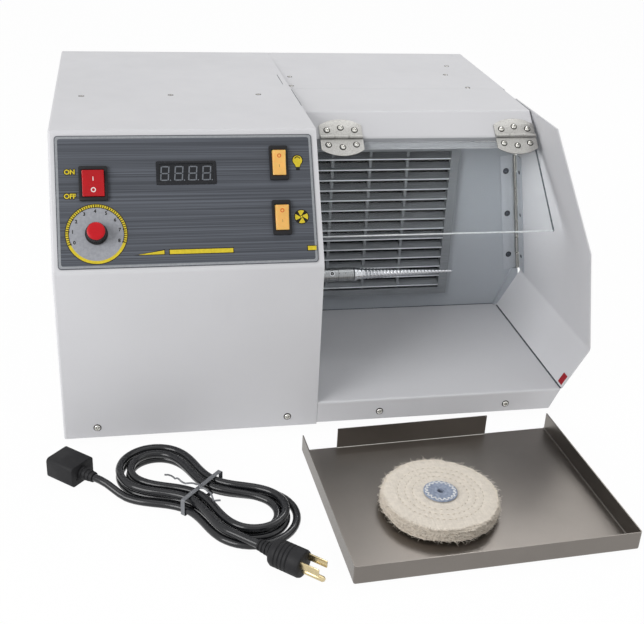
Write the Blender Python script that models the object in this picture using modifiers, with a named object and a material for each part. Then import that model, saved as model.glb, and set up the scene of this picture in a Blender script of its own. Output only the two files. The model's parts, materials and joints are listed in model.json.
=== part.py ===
"""Jewellery polishing machine: motor cabinet, extraction bay, dust tray, buff and mains lead.

Metres, +Z up, the bench at Z 0. Lengths along X are taken from the cabinet's left side, and
lengths along Y from its front face towards the rear. One empty shifts the whole set so that
the machine and its tray are centred on the origin.
"""

import math

import bmesh
import bpy
from mathutils import Matrix, Vector

# Sheet metal and fits
SHEET = 0.0012
GAP = 0.0003
BEND_RADIUS = 0.0020
BEND_STEPS = 3
BEND_LIMIT = math.radians(15)
FIT = SHEET + GAP
OVERLAP = 0.0010
CUT_MARGIN = 0.0040

# Cabinet
FOOT_HEIGHT = 0.0080
CASE_WIDTH = 0.2400
CASE_DEPTH = 0.3910
CASE_HEIGHT = 0.2760
FRONT_HEIGHT = 0.1688
PANEL_BACK = 0.0705
CASE_TOP = FOOT_HEIGHT + CASE_HEIGHT
BEND_Z = FOOT_HEIGHT + FRONT_HEIGHT
PANEL_RISE = CASE_TOP - BEND_Z
PANEL_LENGTH = math.hypot(PANEL_BACK, PANEL_RISE)
PANEL_UP = Vector((0, PANEL_BACK / PANEL_LENGTH, PANEL_RISE / PANEL_LENGTH))
PANEL_OUT = Vector((0, -PANEL_UP.z, PANEL_UP.y))

# Base
PAN_WALL = 0.0226
PAN_RIGHT = 0.4780
REAR_INSET = 0.0010
REAR_FRONT_Y = CASE_DEPTH - REAR_INSET - SHEET
PAN_REAR_Y = REAR_FRONT_Y - GAP

# Extraction bay
BAY_LEFT = CASE_WIDTH + GAP
BAY_DEPTH = 0.2000
FLOOR_Z = 0.0321
FLOOR_RIGHT = 0.4924
LIP_RIGHT = 0.4824
LIP_BOTTOM = 0.0099
WALL_FOOT_INSET = 0.0030

# Side door, whose outline bends at a crease
CREASE_X = 0.5161
CREASE_Z = 0.0757
DOOR_TOP_X = 0.4826
DOOR_TOP_DROP = 0.0050
DOOR_TOP_Z = CASE_TOP - DOOR_TOP_DROP
DOOR_SLANT_Z = 0.1800
DOOR_SLANT_Y = 0.0800
DOOR_FLOOR_GAP = 0.0005
UPPER_LEAN = (CREASE_X - DOOR_TOP_X) / (DOOR_TOP_Z - CREASE_Z)
LOWER_LEAN = (CREASE_X - FLOOR_RIGHT) / (CREASE_Z - FLOOR_Z)
LEAN_ANGLE = math.atan(UPPER_LEAN)
SIDE_SLACK = SHEET / math.cos(LEAN_ANGLE) + GAP

# Hood over the bay
HOOD_RIGHT = 0.4798
HOOD_OVERHANG = 0.0320
HOOD_BEND_INSET = 0.0494
HOOD_BEND_DROP = 0.0057
STRIP_RUN = 0.0240
STRIP_FALL = 0.0207
HOOD_REAR_Y = BAY_DEPTH + HOOD_OVERHANG
HOOD_BEND_Y = BAY_DEPTH - HOOD_BEND_INSET
HOOD_BEND_Z = CASE_TOP - HOOD_BEND_DROP
HOOD_EDGE_Y = HOOD_BEND_Y - STRIP_RUN
HOOD_EDGE_Z = HOOD_BEND_Z - STRIP_FALL
HOOD_FLANGE = 0.0120
COVER_FLANGE = 0.0100
ROOF_SLOPE = (CASE_TOP - HOOD_BEND_Z) / (CASE_DEPTH - HOOD_BEND_Y)
STRIP_LENGTH = math.hypot(STRIP_RUN, STRIP_FALL)
STRIP_DOWN = Vector((0, -STRIP_RUN / STRIP_LENGTH, -STRIP_FALL / STRIP_LENGTH))
STRIP_OUT = Vector((0, STRIP_DOWN.z, -STRIP_DOWN.y))

# Side panel behind the door
SIDE_SETBACK = 0.0030
SIDE_TOP_DROP = 0.0065
SIDE_BOTTOM_Z = 0.0125
SIDE_FRONT_Y = BAY_DEPTH + SIDE_SETBACK
SIDE_TOP_Z = CASE_TOP - SIDE_TOP_DROP

# Hinge barrels, leaves and pins
PIN_RADIUS = 0.00075
PIN_BORE = PIN_RADIUS + GAP
DOOR_BARREL = 0.0022
DOOR_LEAF = 0.0008
DOOR_LEAF_REACH = 0.0160
DOOR_LEAF_SETBACK = 0.00115
DOOR_HINGE_LOW = 0.0790
DOOR_HINGE_HIGH = 0.2160
DOOR_KNUCKLES = 7
DOOR_REAR_CLEARANCE = 0.0015
ROUND_BARREL = 0.0018
ROUND_LEAF = 0.0010
ROUND_LEAF_SETBACK = 0.0009
ROUND_WIDTH = 0.0430
ROUND_SIDE_REACH = 0.0140
ROUND_REACH = 0.0210
ROUND_KNUCKLES = 3
ROUND_LEFT_X = 0.2770
ROUND_RIGHT_X = 0.4585
KNUCKLE_GAP = 0.0004
BARREL_STEPS = 12
HINGE_AXIS_INSET = SHEET / math.cos(LEAN_ANGLE) + GAP + DOOR_BARREL + KNUCKLE_GAP / 8
HINGE_Y = BAY_DEPTH - GAP - DOOR_BARREL
DOOR_REAR_Y = HINGE_Y - DOOR_REAR_CLEARANCE

# Clear shield
SHIELD_LEFT = 0.2460
SHIELD_RIGHT = 0.4783
SHIELD_TOP_GAP = 0.0045
SHIELD_LENGTH = 0.1040
SHIELD_THICKNESS = 0.0030

# Louvre, filter and fan
LOUVRE_LEFT = 0.2460
LOUVRE_RIGHT = 0.4252
LOUVRE_LOW = 0.0520
LOUVRE_HIGH = 0.2300
LOUVRE_DEPTH = 0.0072
LOUVRE_BORDER = 0.0080
LOUVRE_END_BORDER = 0.0101
LOUVRE_OPENING_MARGIN = 0.0080
RIB_CENTRES = (0.2845, 0.3257, 0.3671)
RIB_WIDTH = 0.0030
RIB_DEPTH = 0.0050
SLAT_COUNT = 14
SLAT_CHORD = 0.0088
SLAT_THICKNESS = 0.0008
SLAT_TILT = math.radians(42)
FILTER_THICKNESS = 0.0150
FILTER_MARGIN = 0.0040
FILTER_GROOVES = 7
FILTER_GROOVE_WIDTH = 0.0080
FILTER_GROOVE_DEPTH = 0.0040
FAN_X = 0.3350
FAN_Z = 0.1400
FAN_SIDE = 0.1200
FAN_DEPTH = 0.0250
FAN_BORE = 0.0565
FAN_CORNER = 0.0060
FAN_HUB = 0.0200
FAN_HUB_DEPTH = 0.0160
FAN_BLADE_REACH = 0.0540
FAN_BLADES = 7
FAN_BLADE_CHORD = 0.0240
FAN_BLADE_THICKNESS = 0.0018
FAN_BLADE_PITCH = math.radians(32)
FAN_STRUT = 0.0045
FAN_PLATE_RADIUS = 0.0215
FAN_PLATE = 0.0030
FAN_RUNNING_GAP = 0.0008
FAN_SCREW_SPREAD = 0.0525
FAN_SCREW_HOLE = 0.0022
VENT_SLOTS = 9
VENT_SLOT_WIDTH = 0.0060
VENT_SLOT_LENGTH = 0.0960
VENT_PITCH = 0.0115

# Motor and spindle
SHAFT_Y = 0.1000
SHAFT_Z = 0.1220
SHAFT_RADIUS = 0.0040
SHAFT_LEFT_X = 0.0912
SHAFT_RIGHT_X = 0.2700
MOTOR_RADIUS = 0.0400
MOTOR_WALL = 0.0030
MOTOR_LEFT_X = 0.0850
MOTOR_LENGTH = 0.1200
MOTOR_CAP = 0.0080
MOTOR_CAP_BOSS = 0.0150
MOTOR_CAP_BOSS_LENGTH = 0.0060
BEARING_OUTER = 0.0110
BEARING_WIDTH = 0.0070
BEARING_LIP = 0.0020
ROTOR_RADIUS = 0.0360
ROTOR_LEFT_X = 0.1100
ROTOR_LENGTH = 0.0700
BRACKET_LEFT_X = 0.1100
BRACKET_LENGTH = 0.0700
BRACKET_WIDTH = 0.0760
BRACKET_TOP_Z = 0.0960
BRACKET_WALL = 0.0050
BRACKET_WINDOW_TOP = 0.0720
SHAFT_HOLE = 0.0085
COLLAR_RADIUS = 0.0070
COLLAR_LEFT_X = 0.2440
COLLAR_RIGHT_X = 0.2916
COLLAR_CHAMFER = 0.0008
SET_SCREW_X = 0.2683
SET_SCREW_RADIUS = 0.0015
SET_SCREW_SINK = 0.0004
TAPER_START_X = 0.2952
TAPER_END_X = 0.3978
TAPER_BASE = 0.0062
TAPER_TIP = 0.0012
TAPER_FLANGE = 0.0068
TAPER_TANG_LEFT_X = 0.2712
THREADS = 24
RIDGE_SHARES = ((0.0, 1.0), (0.5, 0.0))
THREAD_DEPTH = 0.0007
TURN_STEPS = 16

# Control panel, as distances across and up the leaning face
LABEL_LEFT = 0.0053
LABEL_WIDTH = 0.2295
LABEL_LOW = 0.0035
LABEL_HEIGHT = 0.1193
LABEL_THICKNESS = 0.0005
LABEL_CORNER = 0.0030
LABEL_TOP = GAP + LABEL_THICKNESS
MAIN_SWITCH_AT = (0.0379, 0.0793)
MAIN_BEZEL = (0.0250, 0.0310)
MAIN_ROCKER = (0.0190, 0.0230)
LIGHT_SWITCH_AT = (0.2032, 0.0957)
FAN_SWITCH_AT = (0.2032, 0.0451)
SMALL_BEZEL = (0.0170, 0.0320)
SMALL_ROCKER = (0.0120, 0.0225)
SWITCH_BORDER = 0.0018
SWITCH_BEZEL_HEIGHT = 0.0022
SWITCH_DEPTH = 0.0200
SWITCH_WALL = 0.0010
POCKET_PLAY = 0.0009
POCKET_DEPTH = 0.0090
ROCKER_PIVOT_DEPTH = 0.0012
ROCKER_CENTRE_RISE = 0.0030
ROCKER_END_RISE = 0.0044
ROCKER_BELLY = 0.0034
ROCKER_TILT = math.radians(10)
ROCKER_ROUND = 0.0005
TERMINAL_SIZE = (0.0048, 0.0008, 0.0080)
DISPLAY_AT = (0.1195, 0.0880)
DISPLAY_SIZE = (0.0526, 0.0208)
DISPLAY_BODY_MARGIN = 0.0020
DISPLAY_DEPTH = 0.0090
DISPLAY_PROUD = 0.0004
DIAL_AT = (0.0390, 0.0343)
POT_RADIUS = 0.0120
POT_DEPTH = 0.0130
POT_BUSH = 0.0045
POT_SHAFT = 0.0030
POT_SHAFT_TOP = 0.0105
KNOB_BOTTOM = 0.0016
KNOB_SKIRT = 0.0098
KNOB_NECK = 0.0086
KNOB_SKIRT_HEIGHT = 0.0030
KNOB_TOP = 0.0140
KNOB_BORE_TOP = 0.0112
CAP_RADIUS = 0.0078
CAP_HEIGHT = 0.0012
BOARD_LEFT = 0.0750
BOARD_LOW = 0.0200
BOARD_WIDTH = 0.0900
BOARD_HEIGHT = 0.0550
BOARD_DROP = 0.0300
BOARD_THICKNESS = 0.0016
STANDOFF_RADIUS = 0.0025
STANDOFF_INSET = 0.0050
BOARD_PARTS = (
    (0.0200, 0.0120, 0.0100, 0.0120),
    (0.0450, 0.0150, 0.0160, 0.0090),
    (0.0680, 0.0300, 0.0120, 0.0070),
)

# Lamp
LAMP_LEFT = 0.2550
LAMP_RIGHT = 0.4650
LAMP_REACH = 0.0455
LAMP_FRONT_Y = BAY_DEPTH - LAMP_REACH
LAMP_DEPTH = 0.0200
LAMP_DROP = 0.0110
LAMP_END = 0.0080
LAMP_END_DROP = 0.0290
LAMP_TUBE = 0.0060
LAMP_TUBE_DROP = 0.0190
LAMP_SOCKET = 0.0050

# Feet and inlet
FOOT_TOP_RADIUS = 0.0095
FOOT_BOTTOM_RADIUS = 0.0080
FOOT_LEFT_X = 0.0260
FOOT_REAR_INSET = 0.0310
FOOT_RIGHT_X = PAN_RIGHT - FOOT_LEFT_X
FOOT_FRONT_Y = 0.0300
FOOT_REAR_Y = CASE_DEPTH - FOOT_REAR_INSET
INLET_X = 0.0600
INLET_Z = 0.0600
INLET_FLANGE = (0.0480, 0.0300)
INLET_FLANGE_DEPTH = 0.0035
INLET_BODY = (0.0310, 0.0240)
INLET_DEPTH = 0.0240
INLET_WELL = (0.0250, 0.0180)
INLET_WELL_DEPTH = 0.0170
INLET_PIN = (0.0020, 0.0040)
INLET_PIN_LENGTH = 0.0120
INLET_PIN_SPREAD = 0.0070
INLET_PIN_RAISE = 0.0020

# Dust tray
TRAY_X = 0.3495
TRAY_Y = -0.1229
TRAY_TURN = math.radians(2.7)
TRAY_WIDTH = 0.2500
TRAY_DEPTH = 0.1900
TRAY_WALL_HEIGHT = 0.0180
TRAY_SHEET = 0.0010
TRAY_STOP_LEFT = 0.0340
TRAY_STOP_WIDTH = 0.1510
TRAY_STOP_HEIGHT = 0.0220

# Buff
BUFF_X = 0.3250
BUFF_Y = -0.1360
BUFF_RADIUS = 0.0520
BUFF_THICKNESS = 0.0150
BUFF_HOLE = 0.0050
BUFF_EDGE = 0.0030
BUFF_PLIES = 5
BUFF_PLY_DEPTH = 0.0010
BUFF_STEPS = 32
CENTRE_RADIUS = 0.0150
CENTRE_FLANGE = 0.0011
CENTRE_SLEEVE = 0.0046
CENTRE_BORE = 0.0030

# Mains lead
HANK_X = 0.1220
HANK_Y = -0.0970
HANK_TURN = math.radians(-42)
CORD_RADIUS = 0.0035
HANK_RUN = 0.1050
HANK_OUTER = 0.04125
HANK_SPACING = 0.0090
HANK_HIGH_SPACING = 0.0100
HANK_LOW_TURNS = 2.25
HANK_CLIMB_TURNS = 0.5
HANK_HIGH_TURNS = 1.5
HANK_INNER = HANK_OUTER - HANK_SPACING * HANK_LOW_TURNS
HANK_LOW_Z = 0.0043
HANK_LAYER = 0.0078
HANK_HIGH_Z = HANK_LOW_Z + HANK_LAYER
HANK_WAIST = 0.0150
POINTS_PER_TURN = 24
TAIL_STRAIGHT = CORD_RADIUS * 2
TAIL_RISE_RUN = 0.0290
TAIL_OUT_RUN = 0.0300
TAIL_POINTS = 4
TIE_THICKNESS = 0.0005
TIE_WIDTH = 0.0040
TIE_CORNER = 0.0050
TIE_PLAY = 0.0004
CONNECTOR_LENGTH = 0.0300
CONNECTOR_WIDTH = 0.0270
CONNECTOR_HEIGHT = 0.0200
CONNECTOR_Z = 0.0105
CONNECTOR_SLOT = (0.0045, 0.0025)
CONNECTOR_SLOT_DEPTH = 0.0150
CONNECTOR_SLOT_SPREAD = 0.0070
CONNECTOR_SLOT_RAISE = 0.0020
RELIEF_LENGTH = 0.0140
RELIEF_SMALL = 0.0046
RELIEF_LARGE = 0.0065
PLUG_RADIUS = 0.0117
PLUG_LENGTH = 0.0300
PLUG_ROUND = 0.0025
BLADE_SIZE = (0.0170, 0.0063, 0.0015)
BLADE_SPREAD = 0.0063
EARTH_PIN_RADIUS = 0.0024
EARTH_PIN_LENGTH = 0.0190
EARTH_PIN_DROP = 0.0060
BLADE_RAISE = 0.0040

FINISHES = {
    "paint": ((0.62, 0.64, 0.66), 0.42, 0.0),
    "inner_paint": ((0.52, 0.54, 0.57), 0.48, 0.0),
    "zinc": ((0.48, 0.49, 0.50), 0.45, 1.0),
    "hinge_steel": ((0.42, 0.41, 0.40), 0.42, 1.0),
    "bright_steel": ((0.60, 0.60, 0.61), 0.22, 1.0),
    "stainless": ((0.30, 0.285, 0.27), 0.36, 1.0),
    "aluminium": ((0.50, 0.51, 0.52), 0.40, 1.0),
    "brass": ((0.62, 0.45, 0.20), 0.35, 1.0),
    "louvre": ((0.24, 0.26, 0.27), 0.50, 0.6),
    "label": ((0.12, 0.13, 0.145), 0.50, 0.0),
    "red": ((0.48, 0.010, 0.015), 0.32, 0.0),
    "amber": ((0.86, 0.46, 0.12), 0.34, 0.0),
    "black": ((0.018, 0.018, 0.019), 0.42, 0.0),
    "display": ((0.012, 0.012, 0.014), 0.20, 0.0),
    "motor": ((0.05, 0.06, 0.08), 0.50, 0.3),
    "iron": ((0.20, 0.20, 0.21), 0.60, 1.0),
    "board": ((0.03, 0.16, 0.06), 0.55, 0.0),
    "white_plastic": ((0.74, 0.74, 0.72), 0.45, 0.0),
    "lamp_glass": ((0.90, 0.90, 0.88), 0.15, 0.0),
    "clear": ((0.86, 0.90, 0.90), 0.05, 0.0),
    "filter": ((0.20, 0.22, 0.20), 0.95, 0.0),
    "rubber": ((0.025, 0.025, 0.026), 0.75, 0.0),
    "cord": ((0.016, 0.016, 0.018), 0.50, 0.0),
    "cotton": ((0.76, 0.68, 0.56), 0.92, 0.0),
    "fibre": ((0.27, 0.30, 0.36), 0.70, 0.0),
    "tie": ((0.05, 0.05, 0.05), 0.40, 0.0),
}

for old in list(bpy.data.objects):
    bpy.data.objects.remove(old, do_unlink=True)

PARTS = bpy.data.collections.new("jewelry_polishing_machine")
TOOLS = bpy.data.collections.new("cutters")
TOOLS.hide_render = True
bpy.context.scene.collection.children.link(PARTS)
bpy.context.scene.collection.children.link(TOOLS)


# Frames and parents


def frame_matrix(origin, x_axis, y_axis, z_axis):
    """Return the matrix that puts local X, Y and Z on three directions from an origin."""
    matrix = Matrix((x_axis, y_axis, z_axis)).transposed().to_4x4()
    matrix.translation = origin
    return matrix


def empty(name, location, parent=None):
    """Add an empty at a place in the set, under a parent empty if there is one."""
    marker = bpy.data.objects.new(name, None)
    PARTS.objects.link(marker)
    if parent is not None:
        marker.parent = parent
        marker.location = Vector(location) - reach(parent)
    else:
        marker.location = location
    return marker


def reach(marker):
    """Return where an empty stands, counted from the root empty."""
    place = Vector((0, 0, 0))
    while marker.parent is not None:
        place += marker.location
        marker = marker.parent
    return place


def attach(obj, parent):
    """Hang a piece on an empty and keep the place it was built in."""
    obj.parent = parent
    obj.matrix_parent_inverse = Matrix.Translation(-reach(parent))


def finish_material(name, finish):
    """Return a Principled material of its own for one piece."""
    colour, roughness, metallic = FINISHES[finish]
    material = bpy.data.materials.new(name)
    material.use_nodes = True
    shader = material.node_tree.nodes["Principled BSDF"]
    shader.inputs["Base Color"].default_value = (*colour, 1)
    shader.inputs["Roughness"].default_value = roughness
    shader.inputs["Metallic"].default_value = metallic
    if finish == "clear":
        shader.inputs["Transmission Weight"].default_value = 1
    material.diffuse_color = (*colour, 1)
    return material


def put(name, data, finish, matrix=None, parent=None):
    """Place a mesh or curve as a piece of the set, or as a tool when it has no finish."""
    obj = bpy.data.objects.new(name, data)
    if finish is None:
        TOOLS.objects.link(obj)
        obj.hide_render = True
        obj.display_type = "WIRE"
    else:
        PARTS.objects.link(obj)
        data.materials.append(finish_material(name, finish))
    if matrix is not None:
        obj.matrix_basis = matrix
    attach(obj, parent or SET)
    return obj


def to_mesh(name, bm):
    """Turn an edit mesh into mesh data with its faces pointing out."""
    bmesh.ops.recalc_face_normals(bm, faces=bm.faces)
    mesh = bpy.data.meshes.new(name)
    bm.to_mesh(mesh)
    bm.free()
    return mesh


def smooth(obj, degrees=35):
    """Shade a round piece smooth and keep its hard edges."""
    obj.data.shade_smooth()
    obj.data.set_sharp_from_angle(angle=math.radians(degrees))
    return obj


# Shapes


def box(name, low, high, finish=None, matrix=None, parent=None):
    """Build a block between two corners."""
    bm = bmesh.new()
    bmesh.ops.create_cube(bm, size=1)
    low = Vector(low)
    high = Vector(high)
    bmesh.ops.scale(bm, vec=high - low, verts=bm.verts)
    bmesh.ops.translate(bm, vec=(high + low) / 2, verts=bm.verts)
    return put(name, to_mesh(name, bm), finish, matrix, parent)


def rod(name, start, end, radius, finish=None, end_radius=None, steps=TURN_STEPS, parent=None):
    """Build a round bar or cone between two points."""
    start = Vector(start)
    end = Vector(end)
    along = end - start
    bm = bmesh.new()
    bmesh.ops.create_cone(
        bm,
        cap_ends=True,
        segments=steps,
        radius1=radius,
        radius2=radius if end_radius is None else end_radius,
        depth=along.length,
    )
    turn = Vector((0, 0, 1)).rotation_difference(along.normalized()).to_matrix().to_4x4()
    bmesh.ops.transform(bm, matrix=turn, verts=bm.verts)
    bmesh.ops.translate(bm, vec=(start + end) / 2, verts=bm.verts)
    return smooth(put(name, to_mesh(name, bm), finish, None, parent))


def turned(name, profile, finish=None, matrix=None, parent=None, steps=TURN_STEPS, closed=False):
    """Turn a profile of radius and height about local Z, listed down its outer side."""
    bm = bmesh.new()
    points = [bm.verts.new((radius, 0, height)) for radius, height in profile]
    for one, two in zip(points, points[1:]):
        bm.edges.new((one, two))
    if closed:
        bm.edges.new((points[-1], points[0]))
    mesh = bpy.data.meshes.new(name)
    bm.to_mesh(mesh)
    bm.free()
    obj = put(name, mesh, finish, matrix, parent)
    screw = obj.modifiers.new("turn", "SCREW")
    screw.steps = steps
    screw.render_steps = steps
    screw.use_merge_vertices = True
    screw.merge_threshold = 0.00001
    screw.use_smooth_shade = False
    return obj


def plate(name, outline, thickness, finish=None, matrix=None, holes=(), parent=None):
    """Build a flat plate from an outline in local X and Y, rising from local Z 0."""
    curve = bpy.data.curves.new(name, "CURVE")
    curve.dimensions = "2D"
    curve.fill_mode = "BOTH"
    curve.extrude = thickness / 2
    for loop in (outline, *holes):
        spline = curve.splines.new("POLY")
        spline.points.add(len(loop) - 1)
        for point, (x, y) in zip(spline.points, loop):
            point.co = (x, y, 0, 1)
        spline.use_cyclic_u = True
    guide = bpy.data.objects.new(name + "_outline", curve)
    TOOLS.objects.link(guide)
    graph = bpy.context.evaluated_depsgraph_get()
    mesh = bpy.data.meshes.new_from_object(guide.evaluated_get(graph))
    bpy.data.objects.remove(guide, do_unlink=True)
    bm = bmesh.new()
    bm.from_mesh(mesh)
    bmesh.ops.remove_doubles(bm, verts=bm.verts, dist=0.00001)
    if not holes:
        inner = [edge for edge in bm.edges if all(len(face.verts) == 3 for face in edge.link_faces)]
        bmesh.ops.dissolve_edges(bm, edges=inner, use_verts=False)
    bmesh.ops.translate(bm, vec=(0, 0, thickness / 2), verts=bm.verts)
    bm.to_mesh(mesh)
    bm.free()
    mesh.name = name
    return put(name, mesh, finish, matrix, parent)


def folded(name, profile, run, drop, finish, thickness=SHEET, shape=None, parent=None):
    """Fold a sheet: sweep a closed profile by run, drop the open sides and thicken inwards.

    profile lists points in order round the sweep, and drop the outward directions left open.
    """
    bm = bmesh.new()
    points = [bm.verts.new(point) for point in profile]
    for one, two in zip(points, points[1:] + points[:1]):
        bm.edges.new((one, two))
    cap = bmesh.ops.contextual_create(bm, geom=bm.edges[:])["faces"]
    swept = bmesh.ops.extrude_face_region(bm, geom=cap)
    bmesh.ops.translate(bm, vec=run, verts=[v for v in swept["geom"] if isinstance(v, bmesh.types.BMVert)])
    bmesh.ops.recalc_face_normals(bm, faces=bm.faces)
    ways = [Vector(way).normalized() for way in drop]
    lost = [face for face in bm.faces if any(face.normal.dot(way) > DROP_LIMIT for way in ways)]
    bmesh.ops.delete(bm, geom=lost, context="FACES")
    if shape is not None:
        shape(bm)
    mesh = bpy.data.meshes.new(name)
    bm.to_mesh(mesh)
    bm.free()
    obj = put(name, mesh, finish, None, parent)
    bend = obj.modifiers.new("bends", "BEVEL")
    bend.width = BEND_RADIUS
    bend.segments = BEND_STEPS
    bend.limit_method = "ANGLE"
    bend.angle_limit = BEND_LIMIT
    wall = obj.modifiers.new("sheet", "SOLIDIFY")
    wall.thickness = thickness
    wall.offset = -1
    wall.use_even_offset = True
    return obj


DROP_LIMIT = 0.995


def cut(target, *tools):
    """Take tools away from a piece."""
    for tool in tools:
        step = target.modifiers.new("cut", "BOOLEAN")
        step.operation = "DIFFERENCE"
        step.object = tool
    return target


def join(target, *tools):
    """Make tools one body with a piece."""
    for tool in tools:
        step = target.modifiers.new("join", "BOOLEAN")
        step.operation = "UNION"
        step.object = tool
    return target


def round_edges(obj, width, steps=2, limit=40):
    """Round a piece's hard edges."""
    bevel = obj.modifiers.new("edges", "BEVEL")
    bevel.width = width
    bevel.segments = steps
    bevel.limit_method = "ANGLE"
    bevel.angle_limit = math.radians(limit)
    return obj


def rectangle(centre, size, corner=0.0, steps=4):
    """Return the outline of a rectangle with round corners."""
    x, y = centre
    half_x = size[0] / 2
    half_y = size[1] / 2
    if not corner:
        signs = ((-1, -1), (1, -1), (1, 1), (-1, 1))
        return [(x + sign_x * half_x, y + sign_y * half_y) for sign_x, sign_y in signs]
    points = []
    for quarter, (sign_x, sign_y) in enumerate(((1, 1), (-1, 1), (-1, -1), (1, -1))):
        for step in range(steps + 1):
            angle = (quarter + step / steps) * math.pi / 2
            points.append(
                (
                    x + sign_x * (half_x - corner) + corner * math.cos(angle),
                    y + sign_y * (half_y - corner) + corner * math.sin(angle),
                )
            )
    return points


def clipped(outline, amount, which):
    """Return an outline with the corners of the given numbers cut off by an amount along each side."""
    points = []
    for index, point in enumerate(outline):
        if index not in which:
            points.append(point)
            continue
        here = Vector(point)
        before = Vector(outline[index - 1]) - here
        after = Vector(outline[(index + 1) % len(outline)]) - here
        points.append(tuple(here + before.normalized() * amount))
        points.append(tuple(here + after.normalized() * amount))
    return points


def circle(centre, radius, steps=TURN_STEPS):
    """Return the outline of a circle."""
    turns = [2 * math.pi * step / steps for step in range(steps)]
    return [(centre[0] + radius * math.cos(turn), centre[1] + radius * math.sin(turn)) for turn in turns]


def slab(name, low, high, inner_low, inner_high, matrix):
    """Return a tool block given by its extents across and along a face, for that face's frame."""
    return box(name, (low[0], low[1], inner_low), (high[0], high[1], inner_high), None, matrix)


def side_x(z):
    """Return how far right the outer side stands at a height."""
    if z >= CREASE_Z:
        return CREASE_X - UPPER_LEAN * (z - CREASE_Z)
    return CREASE_X - LOWER_LEAN * (CREASE_Z - z)


def roof_z(y):
    """Return the height of the bay's roof at a distance from the front."""
    return HOOD_BEND_Z + ROOF_SLOPE * (y - HOOD_BEND_Y)


def hinge_x(z):
    """Return how far right the side door's hinge line stands at a height."""
    return side_x(z) - HINGE_AXIS_INSET


# The set and its joints
TRAY_FRONT_REACH = math.sin(TRAY_TURN) * TRAY_WIDTH / 2 + math.cos(TRAY_TURN) * TRAY_DEPTH / 2
INLET_REAR_Y = CASE_DEPTH - REAR_INSET + GAP + INLET_FLANGE_DEPTH
SET_FRONT_Y = TRAY_Y - TRAY_FRONT_REACH
SET = empty("bench_set", (-CREASE_X / 2, -(SET_FRONT_Y + INLET_REAR_Y) / 2, 0))

HINGE_LOW = Vector((hinge_x(DOOR_HINGE_LOW), HINGE_Y, DOOR_HINGE_LOW))
HINGE_HIGH = Vector((hinge_x(DOOR_HINGE_HIGH), HINGE_Y, DOOR_HINGE_HIGH))
HINGE_UP = (HINGE_HIGH - HINGE_LOW).normalized()
HINGE_OUT = Vector((HINGE_UP.z, 0, -HINGE_UP.x))
SHIELD_AXIS_RAISE = GAP + ROUND_BARREL
SHIELD_AXIS = Vector((0, HOOD_EDGE_Y, HOOD_EDGE_Z)) + STRIP_OUT * SHIELD_AXIS_RAISE
PANEL = frame_matrix(Vector((0, 0, BEND_Z)), Vector((1, 0, 0)), PANEL_UP, PANEL_OUT)

DOOR_JOINT = empty("side_door_hinge", HINGE_LOW, SET)
SHIELD_JOINT = empty("shield_hinge", (ROUND_LEFT_X, SHIELD_AXIS.y, SHIELD_AXIS.z), SET)
SPINDLE_JOINT = empty("spindle_axis", (TAPER_START_X, SHAFT_Y, SHAFT_Z), SET)
FAN_JOINT = empty("fan_axis", (FAN_X, PAN_REAR_Y, FAN_Z), SET)
KNOB_JOINT = empty("knob_axis", PANEL @ Vector((*DIAL_AT, 0)), SET)
TRAY_JOINT = empty("tray_place", (TRAY_X, TRAY_Y, 0), SET)
BUFF_JOINT = empty("buff_place", (BUFF_X, BUFF_Y, 0), TRAY_JOINT)


# Cabinet shell


def switch_hole(bezel):
    """Return the size of the cut-out behind a switch's bezel."""
    return tuple(side - 2 * SWITCH_BORDER for side in bezel)


def panel_opening(name, centre, size):
    """Return a tool that cuts one opening through the panel, square to it."""
    low = (centre[0] - size[0] / 2, centre[1] - size[1] / 2)
    high = (centre[0] + size[0] / 2, centre[1] + size[1] / 2)
    return slab(name, low, high, -CUT_MARGIN, CUT_MARGIN, PANEL)


def panel_rod(name, centre, radius, low, high, finish=None, parent=None):
    """Build a round bar square to the panel."""
    start = PANEL @ Vector((*centre, low))
    end = PANEL @ Vector((*centre, high))
    return rod(name, start, end, radius, finish, parent=parent)


SWITCHES = (
    ("main_switch", MAIN_SWITCH_AT, MAIN_BEZEL, MAIN_ROCKER, "black", "red"),
    ("light_switch", LIGHT_SWITCH_AT, SMALL_BEZEL, SMALL_ROCKER, "black", "amber"),
    ("fan_switch", FAN_SWITCH_AT, SMALL_BEZEL, SMALL_ROCKER, "black", "amber"),
)
DISPLAY_HOLE = (DISPLAY_SIZE[0] + 2 * GAP, DISPLAY_SIZE[1] + 2 * GAP)
DISPLAY_SHELL_HOLE = tuple(side + 2 * (DISPLAY_BODY_MARGIN + GAP) for side in DISPLAY_SIZE)

shell_profile = [
    (0, 0, FOOT_HEIGHT),
    (0, 0, BEND_Z),
    (0, PANEL_BACK, CASE_TOP),
    (0, CASE_DEPTH, CASE_TOP),
    (0, CASE_DEPTH, FOOT_HEIGHT),
]
shell_open = ((1, 0, 0), (0, 0, -1), (0, 1, 0))
cabinet_shell = folded("cabinet_shell", shell_profile, (CASE_WIDTH, 0, 0), shell_open, "paint")
for title, centre, bezel, _, _, _ in SWITCHES:
    cut(cabinet_shell, panel_opening(title + "_opening", centre, switch_hole(bezel)))
cut(cabinet_shell, panel_opening("display_opening", DISPLAY_AT, DISPLAY_SHELL_HOLE))
cut(cabinet_shell, panel_rod("dial_opening", DIAL_AT, POT_BUSH + GAP, -CUT_MARGIN, CUT_MARGIN))

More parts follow.
